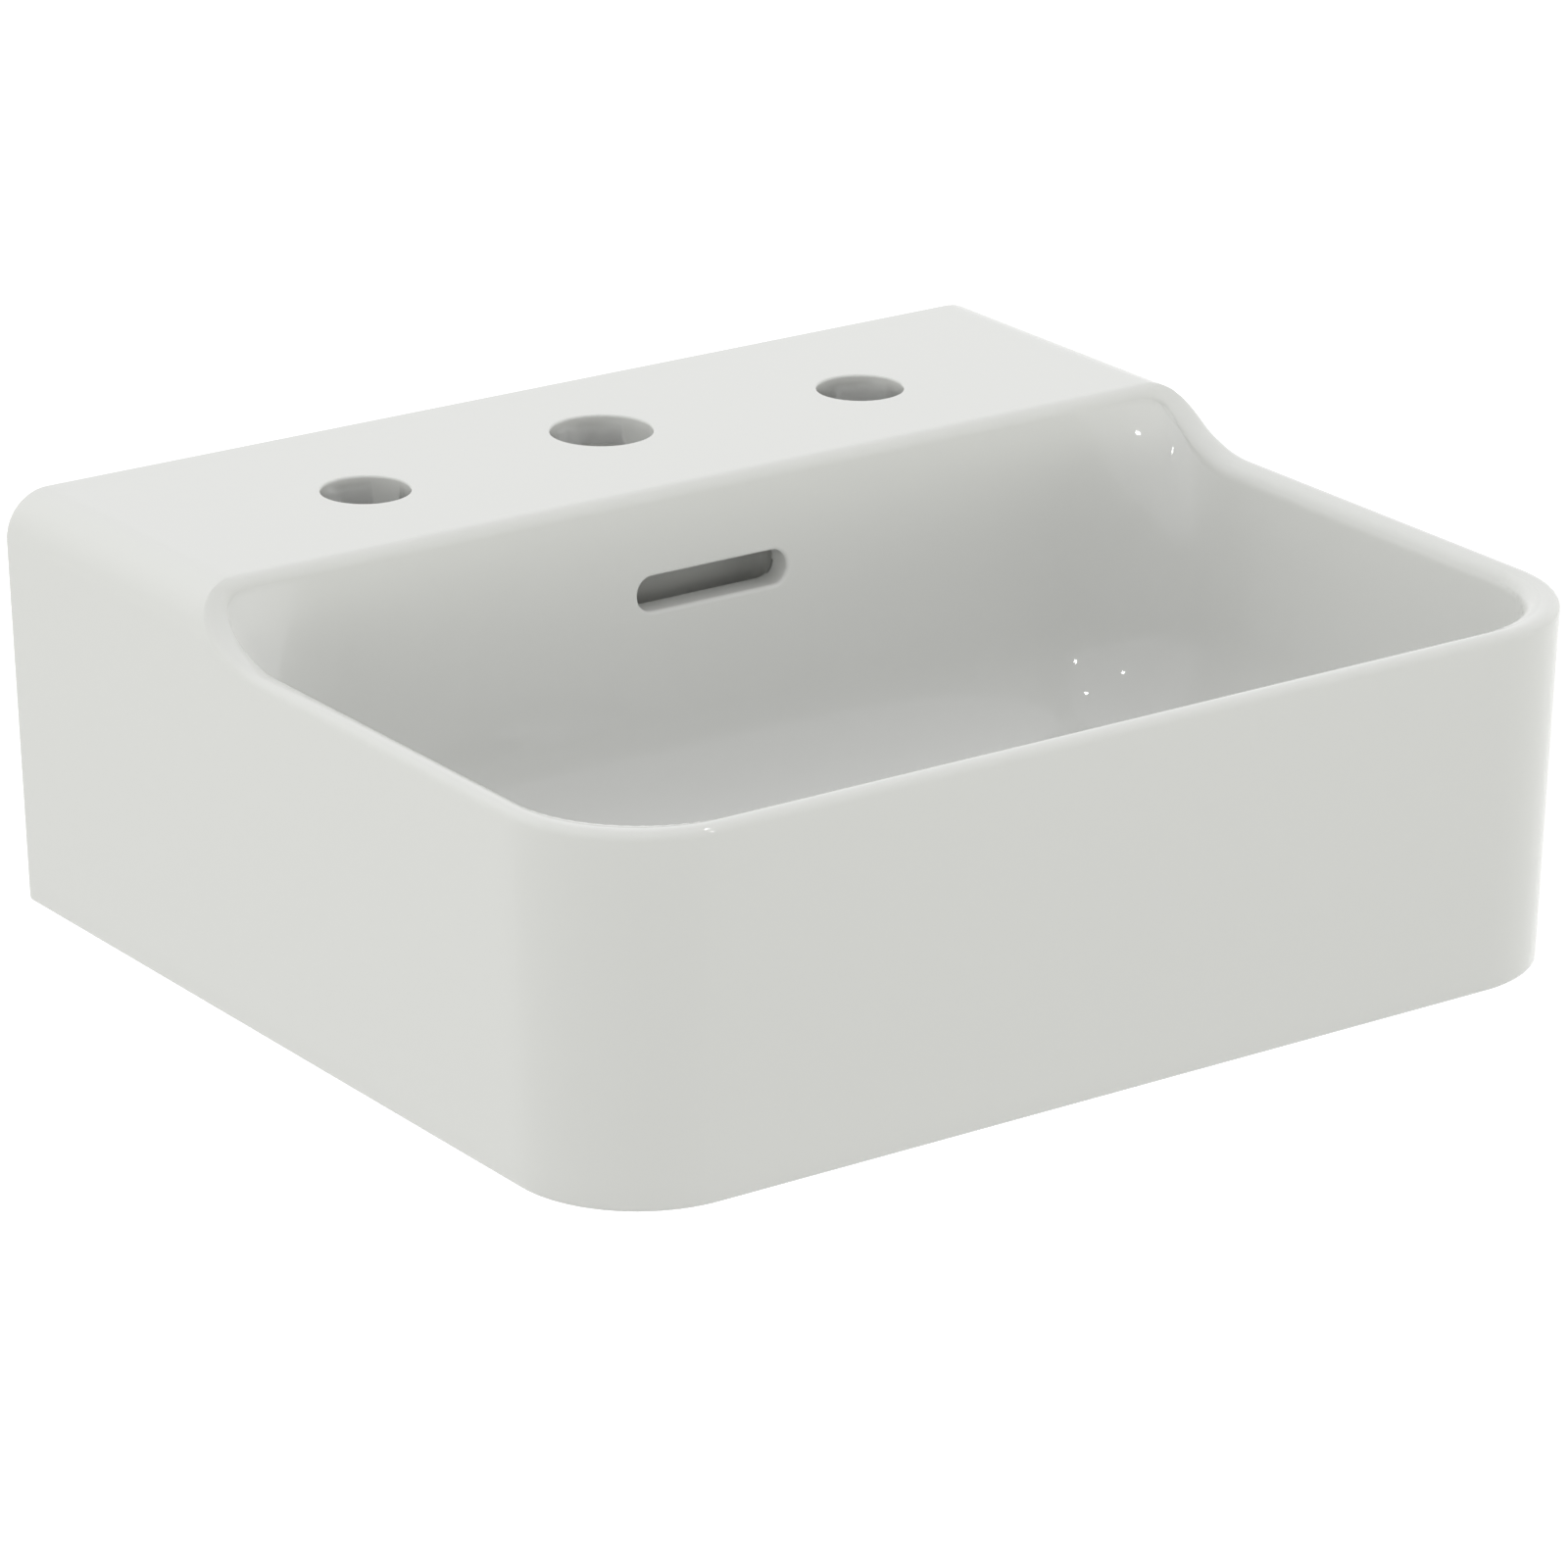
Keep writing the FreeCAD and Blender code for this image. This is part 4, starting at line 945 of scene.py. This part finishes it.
def drawnInWaste():
    # The waste's own mesh, its tail's outer wall drawn in to the root of the threads
    piece = mergedCopy("waste_body", "wasteBody", 30)
    mesh = piece.data
    place = readArray(mesh.vertices, "co")
    flat = place[:, :2] - axisPlace[:2] * millimetre
    radius = np.hypot(flat[:, 0], flat[:, 1])
    height = place[:, 2] / millimetre - footLevel
    root = (tail["radius"] - tail["depth"] - tail["drawnSlack"]) * millimetre
    low, high = tail["drawnIn"]
    outside = (radius > root) & (height < high) & (height > low)
    place[outside, :2] = (axisPlace[:2] * millimetre
                          + flat[outside] / radius[outside, None] * root)
    mesh.vertices.foreach_set("co", place.reshape(-1))
    mesh.materials.append(made["chromePlate"])
    return piece


wasteBody = drawnInWaste()
wastePiece("tailThreads", "waste_body", [threadNet(*run) for run in tail["threads"]],
           "chromePlate", 60)

wasteTable = {
    # Turned pieces: profile corners as radius, height above the foot and rounding, in mm
    "flangeSeal": {"node": "flange_seal", "finish": "sealRubber", "corners": [
        (21.05, 24.0, 0.2), (30.5, 24.0, 0.5), (30.5, 25.5, 0.5), (21.05, 25.5, 0.2)]},
    "tailSeal": {"node": "tail_seal", "finish": "sealRubber", "corners": [
        (21.05, -8, 0.3), (30, -8, 1.2), (30, 0, 1.2), (22.9, 0, 0.3), (22, 3, 0.5),
        (21.05, 3, 0.3)]},
    "slipWasher": {"node": "slip_washer", "finish": "whiteAcetal", "corners": [
        (21.05, -9.5, 0.2), (30, -9.5, 0.4), (30, -8, 0.4), (21.05, -8, 0.2)]},
    "backNut": {"node": "back_nut", "finish": "turnedBrass", "sharpAngle": 25, "nut": {
        "flats": 56, "low": -19.5, "high": -9.5, "bore": 21.05, "chamfer": 1.5, "around": 144}},
    "cartridgeSleeve": {"node": "cartridge_sleeve", "finish": "turnedBrass", "around": 64,
                        "corners": [
        (0, -30, 0), (4, -30, 0.6), (4, -24, 0), (9, -24, 0.5), (9, 6.1, 0.2), (7, 6.1, 0.2),
        (7, -21, 0.4), (0, -21, 0)]},
    "sleeveCap": {"node": "sleeve_cap", "finish": "turnedBrass", "around": 64, "corners": [
        (3.3, 6.1, 0.2), (9, 6.1, 0.7), (9, 9.1, 0.7), (3.3, 9.1, 0.3)]},
    "clickPlunger": {"node": "plunger", "finish": "whiteAcetal", "around": 64, "corners": [
        (0, -5.2, 0), (3, -5.2, 0.3), (3, -1.2, 0), (6.7, -1.2, 0.3), (6.7, 5.8, 0.4),
        (0, 5.8, 0)]},
    "camRing": {"node": "cam_ring", "finish": "whiteAcetal", "teeth": {
        "inner": 3.3, "outer": 6.4, "low": -5.2, "high": -1.3, "tooth": 1.5, "count": 4,
        "around": 240}},
    "returnSpring": {"node": "return_spring", "finish": "drawnSteel", "sharpAngle": 60, "coil": {
        "radius": 5.95, "wire": 0.45, "low": -20.55, "high": -5.75, "turns": 6,
        "steps": 40, "girth": 12}},
    "plugStem": {"node": "plug_stem", "finish": "drawnSteel", "around": 48, "corners": [
        (0, 5.8, 0), (3, 5.8, 0), (3, 38.5, 0), (0, 38.5, 0)]},
    "plugCap": {"node": "plug_cap", "finish": "chromePlate", "around": 144, "steps": 14,
                "corners": [
        (0, 38.5, 0), (30.0, 38.5, 0.3), (30.5, 39.0, 0.2), (30.5, 40.7, 0.7),
        (15.25, 43.7, 130), (0, 43.7, 0)]},
    "plugGasket": {"node": "plug_gasket", "finish": "sealRubber", "corners": [
        (3.1, 35.5, 0.2), (19.7, 35.5, 0.8), (19.7, 38.5, 0.8), (3.1, 38.5, 0.2)]},
    "sealWasher": {"node": "seal_washer", "finish": "drawnSteel", "corners": [
        (3.1, 34.5, 0.2), (14, 34.5, 0.3), (14, 35.5, 0.3), (3.1, 35.5, 0.2)]},
    "lockNut": {"node": "lock_nut", "finish": "turnedBrass", "sharpAngle": 25, "nut": {
        "flats": 10, "low": 31.5, "high": 34.5, "bore": 3.1, "chamfer": 0.6, "around": 72}},
}


def wasteNet(values):
    # The net that a piece's dictionary asks for
    if "nut" in values:
        return hexNet(**values["nut"])
    if "teeth" in values:
        return camNet(**values["teeth"])
    if "coil" in values:
        return springNet(**values["coil"])
    return turnedNet(values["corners"], values.get("around", 96), values.get("steps", 6))


wastePieces = {
    name: wastePiece(name, values["node"], [wasteNet(values)], values["finish"],
                     values.get("sharpAngle", 35))
    for name, values in wasteTable.items()
}
spring = wastePieces["returnSpring"]
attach(spring, "root")
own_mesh(spring)
print("waste made")

lamps = {
    # Direction as turn to the right of the basin's front and height, in degrees
    "places": [(18, 23), (28, 52), (-25, 45)],
    "distance": 3.0, "size": 0.07, "power": 9.0,
}


def addLamps(values):
    # Small studio lamps, seen as bright dots in the glaze
    for number, (turn, rise) in enumerate(values["places"]):
        turn, rise = math.radians(turn), math.radians(rise)
        data = bpy.data.lights.new("studioLamp%d" % number, "POINT")
        data.energy = values["power"]
        data.shadow_soft_size = values["size"]
        lamp = bpy.data.objects.new("studioLamp%d" % number, data)
        lamp.location = Vector((math.sin(turn) * math.cos(rise), -math.cos(turn) * math.cos(rise),
                                math.sin(rise))) * values["distance"]
        lamp.visible_diffuse = False
        bpy.context.scene.collection.objects.link(lamp)


addLamps(lamps)


def seenDirectly(tree):
    # 1 for a ray from the camera, off a shiny face or through glass, 0 for light falling
    rays = tree.nodes.new("ShaderNodeLightPath")
    total = rays.outputs["Is Camera Ray"]
    for kind in ("Is Glossy Ray", "Is Transmission Ray"):
        add = tree.nodes.new("ShaderNodeMath")
        add.operation = "MAXIMUM"
        link(tree, total, add.inputs[0])
        link(tree, rays.outputs[kind], add.inputs[1])
        total = add.outputs["Value"]
    return total


sky = {
    # Height in the sky, from 0 at the horizon to 1 overhead: strength in front and behind, tint
    "levels": [
        (0.0, 2.25, 2.17, (1.0, 1.008, 0.955)), (0.2, 0.62, 1.31, (1.0, 1.008, 0.965)),
        (0.5, 0.13, 1.15, (1.0, 1.008, 0.985)), (1.0, 0.92, 1.60, (1.0, 1.004, 1.0))],
    "sides": (0.85, 1.05),  # share of it from the left and from the right
}


def addRamp(tree, value, levels):
    # Straight runs between levels: (place, strength, tint)
    ramp = tree.nodes.new("ShaderNodeValToRGB")
    marks = ramp.color_ramp.elements
    while len(marks) < len(levels):
        marks.new(0.5)
    for mark, (place, strength, tint) in zip(marks, levels):
        mark.position = place
        mark.color = [strength * part for part in tint] + [1]
    link(tree, value, ramp.inputs["Fac"])
    return ramp.outputs["Color"]


def addSky(values):
    # Light by height, one run in front and one behind, mixed by direction
    world = bpy.data.worlds.new("studio")
    bpy.context.scene.world = world
    world.use_nodes = True
    tree = world.node_tree
    background = tree.nodes["Background"]
    direction = tree.nodes.new("ShaderNodeTexCoord").outputs["Generated"]
    parts = tree.nodes.new("ShaderNodeSeparateXYZ")
    link(tree, direction, parts.inputs["Vector"])
    front, behind = [
        addRamp(tree, parts.outputs["Z"],
                [(level[0], level[column], level[3]) for level in values["levels"]])
        for column in (1, 2)]
    both = colourMix(tree, mapRange(tree, parts.outputs["Y"], -1, 1, 0, 1), front, behind)
    direct = seenDirectly(tree)
    link(tree, colourMix(tree, direct, both, (1, 1, 1, 1)), background.inputs["Color"])
    strength = tree.nodes.new("ShaderNodeMix")
    link(tree, direct, strength.inputs["Factor"])
    link(tree, mapRange(tree, parts.outputs["X"], -1, 1, *values["sides"]), strength.inputs["A"])
    strength.inputs["B"].default_value = 1.0
    link(tree, strength.outputs["Result"], background.inputs["Strength"])


addSky(sky)
print("light set")

floor = {
    "size": 6.0, "height": -0.85, "grainSize": 300,
    "lightColour": (0.5, 0.5, 0.5, 1),  # for the light it throws back
    "seenColour": (0.9, 0.9, 0.9, 1),   # for the eye, with the glow added
    "glow": 0.42,
}


def multiply(tree, first, second):
    # Product of an output and another output or a number
    node = tree.nodes.new("ShaderNodeMath")
    node.operation = "MULTIPLY"
    link(tree, first, node.inputs[0])
    if isinstance(second, float):
        node.inputs[1].default_value = second
    else:
        link(tree, second, node.inputs[1])
    return node.outputs["Value"]


def layFloor(values):
    # Grey for the light that falls on it; to the eye it is white and keeps the basin's shadow
    reach, low = values["size"], values["height"]
    mesh = bpy.data.meshes.new("paleFloor")
    mesh.from_pydata([(-reach, -reach, low), (reach, -reach, low), (reach, reach, low),
                      (-reach, reach, low)], [], [(0, 1, 2, 3)])
    piece = bpy.data.objects.new("paleFloor", mesh)
    bpy.context.scene.collection.objects.link(piece)
    material, tree, shader = newMaterial("paleFloor", roughness=0.9)
    seen = seenDirectly(tree)
    noise = noiseNode(tree, objectPlace(tree), values["grainSize"], 2)
    link(tree, colourMix(tree, seen, values["lightColour"], values["seenColour"]),
         shader.inputs["Base Color"])
    shader.inputs["Specular IOR Level"].default_value = 0.0
    shader.inputs["Emission Color"].default_value = (1, 1, 1, 1)
    link(tree, multiply(tree, multiply(tree, seen, values["glow"]),
                        mapRange(tree, noise, 0, 1, 0.98, 1.0)),
         shader.inputs["Emission Strength"])
    mesh.materials.append(material)


layFloor(floor)
print("floor laid")

scene = bpy.context.scene
scene.view_settings.view_transform = "Standard"
